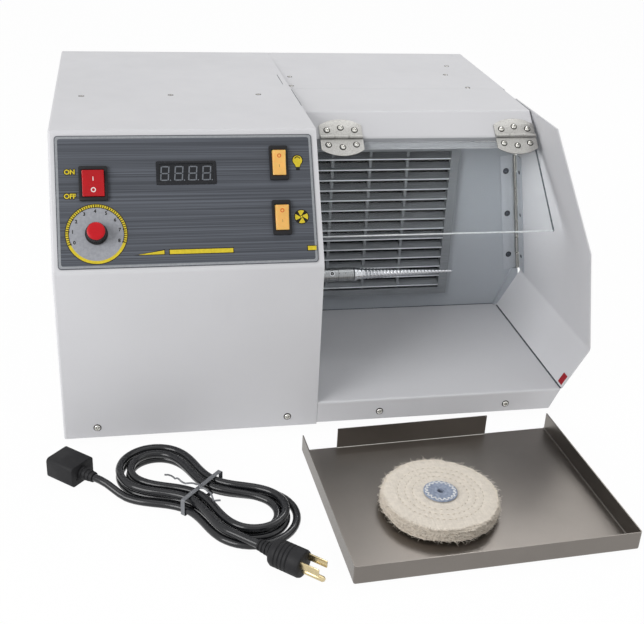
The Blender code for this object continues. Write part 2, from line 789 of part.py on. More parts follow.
# Partition between cabinet and bay
PARTITION_BOTTOM = FOOT_HEIGHT + PAN_WALL + GAP
bend_inset_y = FIT * math.tan(math.atan2(PANEL_BACK, PANEL_RISE) / 2)
top_inset_y = FIT * math.tan(math.atan2(PANEL_RISE, PANEL_BACK) / 2)
partition_outline = [
    (FIT, PARTITION_BOTTOM),
    (FIT, BEND_Z - bend_inset_y),
    (PANEL_BACK + top_inset_y, CASE_TOP - FIT),
    (REAR_FRONT_Y - GAP, CASE_TOP - FIT),
    (REAR_FRONT_Y - GAP, PARTITION_BOTTOM),
]
PARTITION_X = CASE_WIDTH - GAP - SHEET
partition_matrix = frame_matrix(Vector((PARTITION_X, 0, 0)), Vector((0, 1, 0)), Vector((0, 0, 1)), Vector((1, 0, 0)))
plate(
    "partition_wall",
    clipped(partition_outline, BEND_RADIUS, (1, 2)),
    SHEET,
    "inner_paint",
    partition_matrix,
    [circle((SHAFT_Y, SHAFT_Z), SHAFT_HOLE)],
)

# Base pan
pan_profile = [
    (FIT, FIT, FOOT_HEIGHT),
    (PAN_RIGHT, FIT, FOOT_HEIGHT),
    (PAN_RIGHT, PAN_REAR_Y, FOOT_HEIGHT),
    (FIT, PAN_REAR_Y, FOOT_HEIGHT),
]
folded("base_pan", pan_profile, (0, 0, PAN_WALL), ((0, 0, 1),), "zinc")

# Rear panel
REAR_LOW_Z = FOOT_HEIGHT + FIT
REAR_SIDE_INSET = 2 * SIDE_SLACK + GAP
REAR_ROOF_Z = CASE_TOP - FIT
rear_outline = [
    (FIT, REAR_LOW_Z),
    (side_x(REAR_LOW_Z) - REAR_SIDE_INSET, REAR_LOW_Z),
    (CREASE_X - REAR_SIDE_INSET, CREASE_Z),
    (side_x(REAR_ROOF_Z) - REAR_SIDE_INSET, REAR_ROOF_Z),
    (FIT, REAR_ROOF_Z),
]
vent_holes = []
for slot in range(VENT_SLOTS):
    level = FAN_Z + (slot - (VENT_SLOTS - 1) / 2) * VENT_PITCH
    off_centre = abs(level - FAN_Z)
    span = 2 * math.sqrt((VENT_SLOT_LENGTH / 2) ** 2 - off_centre**2)
    slot_size = (span + VENT_SLOT_WIDTH, VENT_SLOT_WIDTH)
    vent_holes.append(rectangle((FAN_X, level), slot_size, VENT_SLOT_WIDTH / 2 - GAP, 2))
inlet_hole = rectangle((INLET_X, INLET_Z), (INLET_BODY[0] + 2 * GAP, INLET_BODY[1] + 2 * GAP))
rear_matrix = frame_matrix(
    Vector((0, REAR_FRONT_Y + SHEET, 0)), Vector((1, 0, 0)), Vector((0, 0, 1)), Vector((0, -1, 0))
)
plate("rear_panel", rear_outline, SHEET, "paint", rear_matrix, [*vent_holes, inlet_hole])

# Back wall of the bay
wall_matrix = frame_matrix(
    Vector((0, BAY_DEPTH + SHEET, 0)), Vector((1, 0, 0)), Vector((0, 0, 1)), Vector((0, -1, 0))
)
WALL_BOTTOM = FLOOR_Z - SHEET
WALL_TOP = roof_z(BAY_DEPTH) - SHEET - 2 * GAP
WALL_EDGE = 0.0005
wall_outline = [
    (BAY_LEFT, WALL_BOTTOM),
    (side_x(WALL_BOTTOM) - WALL_FOOT_INSET, WALL_BOTTOM),
    (hinge_x(DOOR_HINGE_LOW) - WALL_EDGE, DOOR_HINGE_LOW),
    (hinge_x(WALL_TOP) - WALL_EDGE, WALL_TOP),
    (BAY_LEFT, WALL_TOP),
]
louvre_opening = [
    (LOUVRE_LEFT + LOUVRE_OPENING_MARGIN, LOUVRE_LOW + LOUVRE_OPENING_MARGIN),
    (LOUVRE_RIGHT - LOUVRE_OPENING_MARGIN, LOUVRE_LOW + LOUVRE_OPENING_MARGIN),
    (LOUVRE_RIGHT - LOUVRE_OPENING_MARGIN, LOUVRE_HIGH - LOUVRE_OPENING_MARGIN),
    (LOUVRE_LEFT + LOUVRE_OPENING_MARGIN, LOUVRE_HIGH - LOUVRE_OPENING_MARGIN),
]
plate("back_wall", wall_outline, SHEET, "inner_paint", wall_matrix, [louvre_opening])

# Bay floor with its lip and its slanting right flange
floor_profile = [
    (BAY_LEFT, 0, LIP_BOTTOM),
    (BAY_LEFT, 0, FLOOR_Z),
    (FLOOR_RIGHT, 0, FLOOR_Z),
    (LIP_RIGHT, 0, LIP_BOTTOM),
]
folded("bay_floor", floor_profile, (0, BAY_DEPTH - GAP, 0), ((-1, 0, 0), (0, 0, -1), (0, 1, 0)), "paint")


def slope_cover(bm):
    """Let the rear cover's roof fall towards the front and its flange follow the side."""
    for vert in bm.verts:
        vert.co.z -= ROOF_SLOPE * (CASE_DEPTH - vert.co.y)
        if vert.co.x > BAY_LEFT + SHEET:
            vert.co.x = side_x(vert.co.z)


# Rear top cover
cover_profile = [
    (BAY_LEFT, HOOD_REAR_Y + GAP, CASE_TOP - COVER_FLANGE),
    (BAY_LEFT, HOOD_REAR_Y + GAP, CASE_TOP),
    (side_x(CASE_TOP), HOOD_REAR_Y + GAP, CASE_TOP),
    (side_x(CASE_TOP - COVER_FLANGE), HOOD_REAR_Y + GAP, CASE_TOP - COVER_FLANGE),
]
folded(
    "rear_top_cover",
    cover_profile,
    (0, CASE_DEPTH - HOOD_REAR_Y - GAP, 0),
    ((-1, 0, 0), (0, 0, -1), (0, 1, 0), (0, -1, 0)),
    "paint",
    shape=slope_cover,
)

# Bay hood: roof, bent strip and return flange
hood_profile = [
    (BAY_LEFT, HOOD_REAR_Y, roof_z(HOOD_REAR_Y)),
    (BAY_LEFT, HOOD_BEND_Y, HOOD_BEND_Z),
    (BAY_LEFT, HOOD_EDGE_Y, HOOD_EDGE_Z),
    (BAY_LEFT, HOOD_EDGE_Y, HOOD_EDGE_Z - HOOD_FLANGE),
    (BAY_LEFT, HOOD_REAR_Y, HOOD_EDGE_Z - HOOD_FLANGE),
]
folded(
    "bay_hood",
    hood_profile,
    (HOOD_RIGHT - BAY_LEFT, 0, 0),
    ((-1, 0, 0), (1, 0, 0), (0, 0, -1), (0, 1, 0)),
    "paint",
)

# Side panel behind the door
side_profile = [
    (side_x(SIDE_BOTTOM_Z) - SIDE_SLACK, SIDE_FRONT_Y, SIDE_BOTTOM_Z),
    (CREASE_X - SIDE_SLACK, SIDE_FRONT_Y, CREASE_Z),
    (side_x(SIDE_TOP_Z) - SIDE_SLACK, SIDE_FRONT_Y, SIDE_TOP_Z),
    (PAN_RIGHT - BAY_LEFT, SIDE_FRONT_Y, SIDE_TOP_Z),
    (PAN_RIGHT - BAY_LEFT, SIDE_FRONT_Y, SIDE_BOTTOM_Z),
]
folded(
    "rear_side_panel",
    side_profile,
    (0, CASE_DEPTH - REAR_INSET - SIDE_FRONT_Y, 0),
    ((-1, 0, 0), (0, 0, 1), (0, 0, -1), (0, 1, 0), (0, -1, 0)),
    "paint",
)


def trim_door(bm):
    """Cut the door's front upper corner off along its slant."""
    slant = Vector((0, DOOR_SLANT_Y, DOOR_TOP_Z - DOOR_SLANT_Z)).normalized()
    outward = Vector((0, -slant.z, slant.y))
    bmesh.ops.bisect_plane(
        bm,
        geom=bm.verts[:] + bm.edges[:] + bm.faces[:],
        plane_co=(0, 0, DOOR_SLANT_Z),
        plane_no=outward,
        clear_outer=True,
    )


# Side door
DOOR_BOTTOM_Z = FLOOR_Z + DOOR_FLOOR_GAP
door_profile = [
    (side_x(DOOR_BOTTOM_Z), 0, DOOR_BOTTOM_Z),
    (CREASE_X, 0, CREASE_Z),
    (DOOR_TOP_X, 0, DOOR_TOP_Z),
    (PAN_RIGHT - BAY_LEFT, 0, DOOR_TOP_Z),
    (PAN_RIGHT - BAY_LEFT, 0, DOOR_BOTTOM_Z),
]
folded(
    "side_door",
    door_profile,
    (0, DOOR_REAR_Y, 0),
    ((-1, 0, 0), (0, 0, 1), (0, 0, -1), (0, 1, 0), (0, -1, 0)),
    "paint",
    shape=trim_door,
    parent=DOOR_JOINT,
)


# Hinges


def leaf_outline(length, reach_side, reach_middle, knuckles, mine, barrel, setback):
    """Return a hinge leaf's outline: fingers into its own knuckles, notches round the others."""
    pitch = length / knuckles
    clear = barrel + GAP
    points = []
    for index in range(knuckles):
        near = setback if index % 2 == mine else clear
        first = index * pitch - length / 2
        last = first + pitch
        inset = KNUCKLE_GAP
        if index % 2 == mine:
            points += [(first + (inset if index else 0), near), (last - (inset if index < knuckles - 1 else 0), near)]
        else:
            points += [(first - (inset if index else 0), near), (last + (inset if index < knuckles - 1 else 0), near)]
    points.append((length / 2, reach_side))
    if reach_middle > reach_side:
        rise = reach_middle - reach_side
        radius = (rise**2 + (length / 2) ** 2) / (2 * rise)
        half_angle = math.asin(length / 2 / radius)
        for step in range(1, BARREL_STEPS):
            turn = half_angle * (1 - 2 * step / BARREL_STEPS)
            points.append((radius * math.sin(turn), reach_middle - radius + radius * math.cos(turn)))
    points.append((-length / 2, reach_side))
    return points


def hinge_leaf(name, matrix, length, reach_side, reach_middle, knuckles, mine, barrel, leaf, setback, parent=None):
    """Build one hinge leaf with its knuckles, its axis along local X and its leaf along local Y."""
    outline = leaf_outline(length, reach_side, reach_middle, knuckles, mine, barrel, setback)
    seat = matrix @ Matrix.Translation((0, 0, -barrel))
    body = plate(name, outline, leaf, "hinge_steel", seat, parent=parent)
    pitch = length / knuckles
    for index in range(mine, knuckles, 2):
        first = index * pitch - length / 2 + KNUCKLE_GAP / 2
        last = first + pitch - KNUCKLE_GAP
        start = matrix @ Vector((first, 0, 0))
        end = matrix @ Vector((last, 0, 0))
        join(body, rod(f"{name}_knuckle_{index}", start, end, barrel, steps=BARREL_STEPS))
    start = matrix @ Vector((-length / 2 - CUT_MARGIN, 0, 0))
    end = matrix @ Vector((length / 2 + CUT_MARGIN, 0, 0))
    cut(body, rod(name + "_bore", start, end, PIN_BORE, steps=BARREL_STEPS))
    return body


door_middle = (HINGE_LOW + HINGE_HIGH) / 2
door_length = (HINGE_HIGH - HINGE_LOW).length
wall_leaf_frame = frame_matrix(door_middle, HINGE_UP, -HINGE_OUT, Vector((0, -1, 0)))
door_leaf_frame = frame_matrix(door_middle, -HINGE_UP, Vector((0, -1, 0)), -HINGE_OUT)
for title, placing, mine, joint in (
    ("door_hinge_wall_leaf", wall_leaf_frame, 0, SET),
    ("door_hinge_door_leaf", door_leaf_frame, 1, DOOR_JOINT),
):
    hinge_leaf(
        title,
        placing,
        door_length,
        DOOR_LEAF_REACH,
        DOOR_LEAF_REACH,
        DOOR_KNUCKLES,
        mine,
        DOOR_BARREL,
        DOOR_LEAF,
        DOOR_LEAF_SETBACK,
        joint,
    )
rod("door_hinge_pin", HINGE_LOW, HINGE_HIGH, PIN_RADIUS, "bright_steel", steps=BARREL_STEPS)

for side, centre_x in (("left", ROUND_LEFT_X), ("right", ROUND_RIGHT_X)):
    middle = Vector((centre_x, SHIELD_AXIS.y, SHIELD_AXIS.z))
    upper_frame = frame_matrix(middle, Vector((1, 0, 0)), -STRIP_DOWN, STRIP_OUT)
    lower_frame = frame_matrix(middle, Vector((-1, 0, 0)), STRIP_DOWN, STRIP_OUT)
    for title, placing, mine, joint in (
        (f"{side}_hinge_upper_leaf", upper_frame, 0, SET),
        (f"{side}_hinge_lower_leaf", lower_frame, 1, SHIELD_JOINT),
    ):
        hinge_leaf(
            title,
            placing,
            ROUND_WIDTH,
            ROUND_SIDE_REACH,
            ROUND_REACH,
            ROUND_KNUCKLES,
            mine,
            ROUND_BARREL,
            ROUND_LEAF,
            ROUND_LEAF_SETBACK,
            joint,
        )
    half = Vector((ROUND_WIDTH / 2, 0, 0))
    rod(f"{side}_hinge_pin", middle - half, middle + half, PIN_RADIUS, "bright_steel", steps=BARREL_STEPS)

# Clear shield
shield_frame = frame_matrix(
    Vector((0, HOOD_EDGE_Y, HOOD_EDGE_Z)), Vector((-1, 0, 0)), STRIP_DOWN, STRIP_OUT
)
shield = box(
    "shield_panel",
    (-SHIELD_RIGHT, SHIELD_TOP_GAP, -SHIELD_THICKNESS),
    (-SHIELD_LEFT, SHIELD_TOP_GAP + SHIELD_LENGTH, 0),
    "clear",
    shield_frame,
    SHIELD_JOINT,
)
round_edges(shield, GAP, 1)

# Louvre grille
louvre_y = BAY_DEPTH - GAP - LOUVRE_DEPTH
louvre_outer = [
    (LOUVRE_LEFT, LOUVRE_LOW),
    (LOUVRE_RIGHT, LOUVRE_LOW),
    (LOUVRE_RIGHT, LOUVRE_HIGH),
    (LOUVRE_LEFT, LOUVRE_HIGH),
]
LOUVRE_IN_LEFT = LOUVRE_LEFT + LOUVRE_BORDER
LOUVRE_IN_RIGHT = LOUVRE_RIGHT - LOUVRE_END_BORDER
LOUVRE_IN_LOW = LOUVRE_LOW + LOUVRE_BORDER
LOUVRE_IN_HIGH = LOUVRE_HIGH - LOUVRE_BORDER
louvre_inner = [
    (LOUVRE_IN_LEFT, LOUVRE_IN_LOW),
    (LOUVRE_IN_RIGHT, LOUVRE_IN_LOW),
    (LOUVRE_IN_RIGHT, LOUVRE_IN_HIGH),
    (LOUVRE_IN_LEFT, LOUVRE_IN_HIGH),
]
louvre_matrix = frame_matrix(
    Vector((0, BAY_DEPTH - GAP, 0)), Vector((1, 0, 0)), Vector((0, 0, 1)), Vector((0, -1, 0))
)
louvre = plate("louvre_grille", louvre_outer, LOUVRE_DEPTH, "louvre", louvre_matrix, [louvre_inner])
for index, centre_x in enumerate(RIB_CENTRES):
    rib = box(
        f"louvre_rib_{index}",
        (centre_x - RIB_WIDTH / 2, louvre_y + LOUVRE_DEPTH - RIB_DEPTH, LOUVRE_IN_LOW - OVERLAP),
        (centre_x + RIB_WIDTH / 2, louvre_y + LOUVRE_DEPTH - GAP, LOUVRE_IN_HIGH + OVERLAP),
    )
    join(louvre, rib)
slat_pitch = (LOUVRE_IN_HIGH - LOUVRE_IN_LOW) / SLAT_COUNT
bm = bmesh.new()
for index in range(SLAT_COUNT):
    level = LOUVRE_IN_LOW + (index + 1 / 2) * slat_pitch
    made = bmesh.ops.create_cube(bm, size=1)["verts"]
    slat_size = (LOUVRE_IN_RIGHT - LOUVRE_IN_LEFT + 2 * OVERLAP, SLAT_CHORD, SLAT_THICKNESS)
    bmesh.ops.scale(bm, vec=slat_size, verts=made)
    bmesh.ops.rotate(bm, cent=(0, 0, 0), matrix=Matrix.Rotation(SLAT_TILT, 3, "X"), verts=made)
    slat_centre = ((LOUVRE_IN_LEFT + LOUVRE_IN_RIGHT) / 2, louvre_y + LOUVRE_DEPTH / 2, level)
    bmesh.ops.translate(bm, vec=slat_centre, verts=made)
join(louvre, put("louvre_slats", to_mesh("louvre_slats", bm), None))

# Filter pad, grooved where it meets the air
filter_pad = box(
    "filter_pad",
    (LOUVRE_LEFT + FILTER_MARGIN, BAY_DEPTH + FIT, LOUVRE_LOW + FILTER_MARGIN),
    (LOUVRE_RIGHT - FILTER_MARGIN, BAY_DEPTH + FIT + FILTER_THICKNESS, LOUVRE_HIGH - FILTER_MARGIN),
    "filter",
)
groove_pitch = (LOUVRE_HIGH - LOUVRE_LOW - 2 * FILTER_MARGIN) / FILTER_GROOVES
for index in range(FILTER_GROOVES):
    level = LOUVRE_LOW + FILTER_MARGIN + (index + 1 / 2) * groove_pitch
    rear = BAY_DEPTH + FIT + FILTER_THICKNESS
    groove = box(
        f"filter_groove_{index}",
        (LOUVRE_LEFT - CUT_MARGIN, rear - FILTER_GROOVE_DEPTH, level - FILTER_GROOVE_WIDTH / 2),
        (LOUVRE_RIGHT + CUT_MARGIN, rear + CUT_MARGIN, level + FILTER_GROOVE_WIDTH / 2),
    )
    cut(filter_pad, groove)

# Fan frame with its spider
FAN_REAR_Y = PAN_REAR_Y
fan_matrix = frame_matrix(Vector((FAN_X, FAN_REAR_Y, FAN_Z)), Vector((1, 0, 0)), Vector((0, 0, 1)), Vector((0, -1, 0)))
fan_screws = [
    circle((sign_x * FAN_SCREW_SPREAD, sign_z * FAN_SCREW_SPREAD), FAN_SCREW_HOLE, BARREL_STEPS)
    for sign_x in (-1, 1)
    for sign_z in (-1, 1)
]
fan_frame = plate(
    "fan_frame",
    rectangle((0, 0), (FAN_SIDE, FAN_SIDE), FAN_CORNER),
    FAN_DEPTH,
    "black",
    fan_matrix,
    [circle((0, 0), FAN_BORE, 2 * TURN_STEPS), *fan_screws],
)
fan_plate_start = Vector((FAN_X, FAN_REAR_Y, FAN_Z))
fan_plate_end = fan_plate_start - Vector((0, FAN_PLATE, 0))
join(fan_frame, rod("fan_plate", fan_plate_start, fan_plate_end, FAN_PLATE_RADIUS))
for index in range(2):
    strut = box(
        f"fan_strut_{index}",
        (-FAN_BORE - OVERLAP, -FAN_STRUT / 2, 0),
        (FAN_BORE + OVERLAP, FAN_STRUT / 2, FAN_PLATE - GAP),
        None,
        fan_matrix @ Matrix.Rotation(math.pi / 4 + index * math.pi / 2, 4, "Z"),
    )
    join(fan_frame, strut)

# Fan impeller
hub_low = FAN_PLATE + FAN_RUNNING_GAP
hub_high = hub_low + FAN_HUB_DEPTH
hub_profile = [(0, hub_high), (FAN_HUB - BEND_RADIUS, hub_high), (FAN_HUB, hub_high - BEND_RADIUS), (FAN_HUB, hub_low), (0, hub_low)]
impeller = turned("fan_impeller", hub_profile, "black", fan_matrix, FAN_JOINT)
blade_middle = (hub_low + hub_high) / 2
for index in range(FAN_BLADES):
    blade_turn = Matrix.Rotation(2 * math.pi * index / FAN_BLADES, 4, "Z")
    blade_pitch = Matrix.Translation((0, 0, blade_middle)) @ Matrix.Rotation(FAN_BLADE_PITCH, 4, "X")
    blade = box(
        f"fan_blade_{index}",
        (FAN_HUB - 2 * OVERLAP, -FAN_BLADE_CHORD / 2, -FAN_BLADE_THICKNESS / 2),
        (FAN_BLADE_REACH, FAN_BLADE_CHORD / 2, FAN_BLADE_THICKNESS / 2),
        None,
        fan_matrix @ blade_turn @ blade_pitch,
        FAN_JOINT,
    )
    join(impeller, blade)


# Motor, on an axis that local Z follows to the right
def axis_at(x):
    """Return the frame whose local Z runs along the spindle to the right, from a place on it."""
    return frame_matrix(Vector((x, SHAFT_Y, SHAFT_Z)), Vector((0, 1, 0)), Vector((0, 0, 1)), Vector((1, 0, 0)))


MOTOR_INNER = MOTOR_RADIUS - MOTOR_WALL
BEARING_BORE = SHAFT_RADIUS + GAP
BEARING_SEAT = BEARING_OUTER + GAP
rear_seat_depth = MOTOR_WALL + BEARING_WIDTH + GAP
SEAT_WALL = BEARING_SEAT + MOTOR_WALL
housing_profile = [
    (0, MOTOR_WALL),
    (BEARING_SEAT, MOTOR_WALL),
    (BEARING_SEAT, rear_seat_depth),
    (SEAT_WALL, rear_seat_depth),
    (SEAT_WALL, MOTOR_WALL),
    (MOTOR_INNER, MOTOR_WALL),
    (MOTOR_INNER, MOTOR_LENGTH),
    (MOTOR_RADIUS, MOTOR_LENGTH),
    (MOTOR_RADIUS, BEND_RADIUS),
    (MOTOR_RADIUS - BEND_RADIUS, 0),
    (0, 0),
]
turned("motor_housing", housing_profile, "motor", axis_at(MOTOR_LEFT_X), None, 2 * TURN_STEPS)

bearing_profile = [
    (BEARING_BORE, BEARING_WIDTH),
    (BEARING_OUTER, BEARING_WIDTH),
    (BEARING_OUTER, 0),
    (BEARING_BORE, 0),
]
bearing_matrix = axis_at(MOTOR_LEFT_X + MOTOR_WALL + GAP)
turned("rear_bearing", bearing_profile, "bright_steel", bearing_matrix, None, TURN_STEPS, True)

CAP_X = MOTOR_LEFT_X + MOTOR_LENGTH + GAP
FRONT_SEAT = MOTOR_CAP - BEARING_LIP
cap_profile = [
    (SHAFT_RADIUS + GAP, MOTOR_CAP),
    (MOTOR_RADIUS - BEND_RADIUS, MOTOR_CAP),
    (MOTOR_RADIUS, MOTOR_CAP - BEND_RADIUS),
    (MOTOR_RADIUS, 0),
    (BEARING_SEAT, 0),
    (BEARING_SEAT, FRONT_SEAT),
    (SHAFT_RADIUS + GAP, FRONT_SEAT),
]
turned("motor_end_cap", cap_profile, "motor", axis_at(CAP_X), None, 2 * TURN_STEPS, True)
front_bearing_x = CAP_X + FRONT_SEAT - GAP - BEARING_WIDTH
turned("front_bearing", bearing_profile, "bright_steel", axis_at(front_bearing_x), None, TURN_STEPS, True)

rotor_profile = [
    (SHAFT_RADIUS + GAP, ROTOR_LENGTH),
    (ROTOR_RADIUS, ROTOR_LENGTH),
    (ROTOR_RADIUS, 0),
    (SHAFT_RADIUS + GAP, 0),
]
turned("rotor_core", rotor_profile, "iron", axis_at(ROTOR_LEFT_X), SPINDLE_JOINT, TURN_STEPS, True)
shaft_ends = [(x, SHAFT_Y, SHAFT_Z) for x in (SHAFT_LEFT_X, SHAFT_RIGHT_X)]
rod("motor_shaft", *shaft_ends, SHAFT_RADIUS, "bright_steel", parent=SPINDLE_JOINT)

PAN_FLOOR = FOOT_HEIGHT + FIT
bracket = box(
    "motor_bracket",
    (BRACKET_LEFT_X, SHAFT_Y - BRACKET_WIDTH / 2, PAN_FLOOR),
    (BRACKET_LEFT_X + BRACKET_LENGTH, SHAFT_Y + BRACKET_WIDTH / 2, BRACKET_TOP_Z),
    "zinc",
)
saddle = rod(
    "motor_saddle",
    (BRACKET_LEFT_X - CUT_MARGIN, SHAFT_Y, SHAFT_Z),
    (BRACKET_LEFT_X + BRACKET_LENGTH + CUT_MARGIN, SHAFT_Y, SHAFT_Z),
    MOTOR_RADIUS + GAP,
    steps=2 * TURN_STEPS,
)
window = box(
    "bracket_window",
    (BRACKET_LEFT_X - CUT_MARGIN, SHAFT_Y - BRACKET_WIDTH / 2 + BRACKET_WALL, PAN_FLOOR + BRACKET_WALL),
    (
        BRACKET_LEFT_X + BRACKET_LENGTH + CUT_MARGIN,
        SHAFT_Y + BRACKET_WIDTH / 2 - BRACKET_WALL,
        BRACKET_WINDOW_TOP,
    ),
)
cut(bracket, saddle, window)

# Spindle collar and its set screw
collar_length = COLLAR_RIGHT_X - COLLAR_LEFT_X
collar_profile = [
    (SHAFT_RADIUS + GAP, collar_length),
    (COLLAR_RADIUS - COLLAR_CHAMFER, collar_length),
    (COLLAR_RADIUS, collar_length - COLLAR_CHAMFER),
    (COLLAR_RADIUS, COLLAR_CHAMFER),
    (COLLAR_RADIUS - COLLAR_CHAMFER, 0),
    (SHAFT_RADIUS + GAP, 0),
]
collar_matrix = axis_at(COLLAR_LEFT_X)
collar = turned("spindle_collar", collar_profile, "bright_steel", collar_matrix, SPINDLE_JOINT, TURN_STEPS, True)
screw_way = Vector((0, -PANEL_UP.z, PANEL_UP.y)).normalized()
screw_base = Vector((SET_SCREW_X, SHAFT_Y, SHAFT_Z))
cut(
    collar,
    rod(
        "set_screw_hole",
        screw_base + screw_way * (SHAFT_RADIUS - GAP),
        screw_base + screw_way * (COLLAR_RADIUS + CUT_MARGIN),
        SET_SCREW_RADIUS + GAP,
        steps=BARREL_STEPS,
        parent=SPINDLE_JOINT,
    ),
)
rod(
    "collar_set_screw",
    screw_base + screw_way * (SHAFT_RADIUS + GAP),
    screw_base + screw_way * (COLLAR_RADIUS - SET_SCREW_SINK),
    SET_SCREW_RADIUS,
    "black",
    steps=BARREL_STEPS,
    parent=SPINDLE_JOINT,
)

# Tapered spindle: tang, flange and a ridged taper that ends in a point
TANG_RADIUS = SHAFT_RADIUS
flange_x = COLLAR_RIGHT_X + GAP
taper_profile = [(0, TAPER_END_X)]
taper_length = TAPER_END_X - TAPER_START_X
for index in range(THREADS, 0, -1):
    for offset, drop in RIDGE_SHARES:
        place = TAPER_START_X + taper_length * (index - offset) / (THREADS + 1)
        along_share = (place - TAPER_START_X) / taper_length
        radius = TAPER_BASE + (TAPER_TIP - TAPER_BASE) * along_share - THREAD_DEPTH * drop
        taper_profile.append((radius, place))
taper_profile += [
    (TAPER_BASE - THREAD_DEPTH, TAPER_START_X),
    (TAPER_FLANGE, TAPER_START_X),
    (TAPER_FLANGE, flange_x),
    (TANG_RADIUS, flange_x),
    (TANG_RADIUS, TAPER_TANG_LEFT_X),
    (0, TAPER_TANG_LEFT_X),
]
turned("tapered_spindle", taper_profile, "bright_steel", axis_at(0), SPINDLE_JOINT)

# Control label
label_outline = rectangle(
    (LABEL_LEFT + LABEL_WIDTH / 2, LABEL_LOW + LABEL_HEIGHT / 2), (LABEL_WIDTH, LABEL_HEIGHT), LABEL_CORNER
)
label_holes = [rectangle(centre, switch_hole(bezel)) for _, centre, bezel, _, _, _ in SWITCHES]
label_holes.append(rectangle(DISPLAY_AT, DISPLAY_HOLE))
label_holes.append(circle(DIAL_AT, POT_BUSH + GAP, BARREL_STEPS))
plate("control_label", label_outline, LABEL_THICKNESS, "label", PANEL @ Matrix.Translation((0, 0, GAP)), label_holes)


# Rocker switches


def switch_body(title, centre, bezel, rocker, finish):
    """Build a switch's bezel, body, pocket and terminals as one piece."""
    base = LABEL_TOP + GAP
    place = PANEL @ Matrix.Translation((*centre, 0))
    rim = base + SWITCH_BEZEL_HEIGHT
    body = box(
        title + "_body", (-bezel[0] / 2, -bezel[1] / 2, base), (bezel[0] / 2, bezel[1] / 2, rim), finish, place
    )
    hole = switch_hole(bezel)
    core_x = hole[0] / 2 - GAP
    core_y = hole[1] / 2 - GAP
    join(body, box(title + "_core", (-core_x, -core_y, -SWITCH_DEPTH), (core_x, core_y, rim - OVERLAP), None, place))
    pocket_x = rocker[0] / 2 + GAP
    pocket_y = rocker[1] / 2 + POCKET_PLAY
    floor = rim - POCKET_DEPTH
    cut(body, box(title + "_pocket", (-pocket_x, -pocket_y, floor), (pocket_x, pocket_y, rim + CUT_MARGIN), None, place))
    for index in (-1, 1):
        across, thick, length = TERMINAL_SIZE
        shift = index * core_y / 2
        terminal = box(
            f"{title}_terminal_{index + 1}",
            (-across / 2, shift - thick / 2, -SWITCH_DEPTH - length),
            (across / 2, shift + thick / 2, -SWITCH_DEPTH + OVERLAP),
            None,
            place,
        )
        join(body, terminal)
    return body


def switch_rocker(title, centre, rocker, finish):
    """Build a rocker whose two faces meet in a shallow valley, tipped to one side at rest."""
    rim = LABEL_TOP + GAP + SWITCH_BEZEL_HEIGHT
    pivot = rim - ROCKER_PIVOT_DEPTH
    half = rocker[1] / 2
    joint = empty(title + "_pivot", PANEL @ Vector((*centre, pivot)), SET)
    outline = [
        (-half, -ROCKER_PIVOT_DEPTH),
        (0, -ROCKER_BELLY - ROCKER_PIVOT_DEPTH),
        (half, -ROCKER_PIVOT_DEPTH),
        (half, ROCKER_END_RISE),
        (0, ROCKER_CENTRE_RISE),
        (-half, ROCKER_END_RISE),
    ]
    across = frame_matrix(Vector((0, 0, 0)), PANEL_UP, PANEL_OUT, Vector((1, 0, 0)))
    across.translation = PANEL @ Vector((*centre, pivot))
    tipped = across @ Matrix.Rotation(ROCKER_TILT, 4, "Z") @ Matrix.Translation((0, 0, -rocker[0] / 2))
    body = plate(title + "_rocker", outline, rocker[0], finish, tipped, parent=joint)
    return round_edges(body, ROCKER_ROUND, 2, 40)


for title, centre, bezel, rocker, case_finish, rocker_finish in SWITCHES:
    switch_body(title, centre, bezel, rocker, case_finish)
    switch_rocker(title, centre, rocker, rocker_finish)

# Display
display_low = (DISPLAY_AT[0] - DISPLAY_SIZE[0] / 2, DISPLAY_AT[1] - DISPLAY_SIZE[1] / 2)
display_high = (DISPLAY_AT[0] + DISPLAY_SIZE[0] / 2, DISPLAY_AT[1] + DISPLAY_SIZE[1] / 2)
display = box(
    "display_module",
    (display_low[0] - DISPLAY_BODY_MARGIN, display_low[1] - DISPLAY_BODY_MARGIN, -DISPLAY_DEPTH),
    (display_high[0] + DISPLAY_BODY_MARGIN, display_high[1] + DISPLAY_BODY_MARGIN, 0),
    "display",
    PANEL,
)
join(display, slab("display_window", display_low, display_high, -OVERLAP, LABEL_TOP - DISPLAY_PROUD, PANEL))

# Speed potentiometer, knob and cap
dial_frame = PANEL @ Matrix.Translation((*DIAL_AT, 0))
pot_profile = [
    (0, POT_SHAFT_TOP),
    (POT_SHAFT, POT_SHAFT_TOP),
    (POT_SHAFT, LABEL_TOP),
    (POT_BUSH, LABEL_TOP),
    (POT_BUSH, -FIT),
    (POT_RADIUS, -FIT),
    (POT_RADIUS, -POT_DEPTH),
    (0, -POT_DEPTH),
]
turned("speed_potentiometer", pot_profile, "zinc", dial_frame)
knob_profile = [
    (0, KNOB_TOP),
    (KNOB_NECK, KNOB_TOP),
    (KNOB_NECK, KNOB_BOTTOM + KNOB_SKIRT_HEIGHT),
    (KNOB_SKIRT, KNOB_BOTTOM + KNOB_SKIRT_HEIGHT - OVERLAP),
    (KNOB_SKIRT, KNOB_BOTTOM),
    (POT_SHAFT + GAP, KNOB_BOTTOM),
    (POT_SHAFT + GAP, KNOB_BORE_TOP),
    (0, KNOB_BORE_TOP),
]
turned("speed_knob", knob_profile, "black", dial_frame, KNOB_JOINT, 2 * TURN_STEPS)
cap_low = KNOB_TOP + GAP
red_profile = [
    (0, cap_low + CAP_HEIGHT),
    (CAP_RADIUS - GAP, cap_low + CAP_HEIGHT),
    (CAP_RADIUS, cap_low + CAP_HEIGHT - GAP),
    (CAP_RADIUS, cap_low),
    (0, cap_low),
]
turned("knob_cap", red_profile, "red", dial_frame, KNOB_JOINT, 2 * TURN_STEPS)

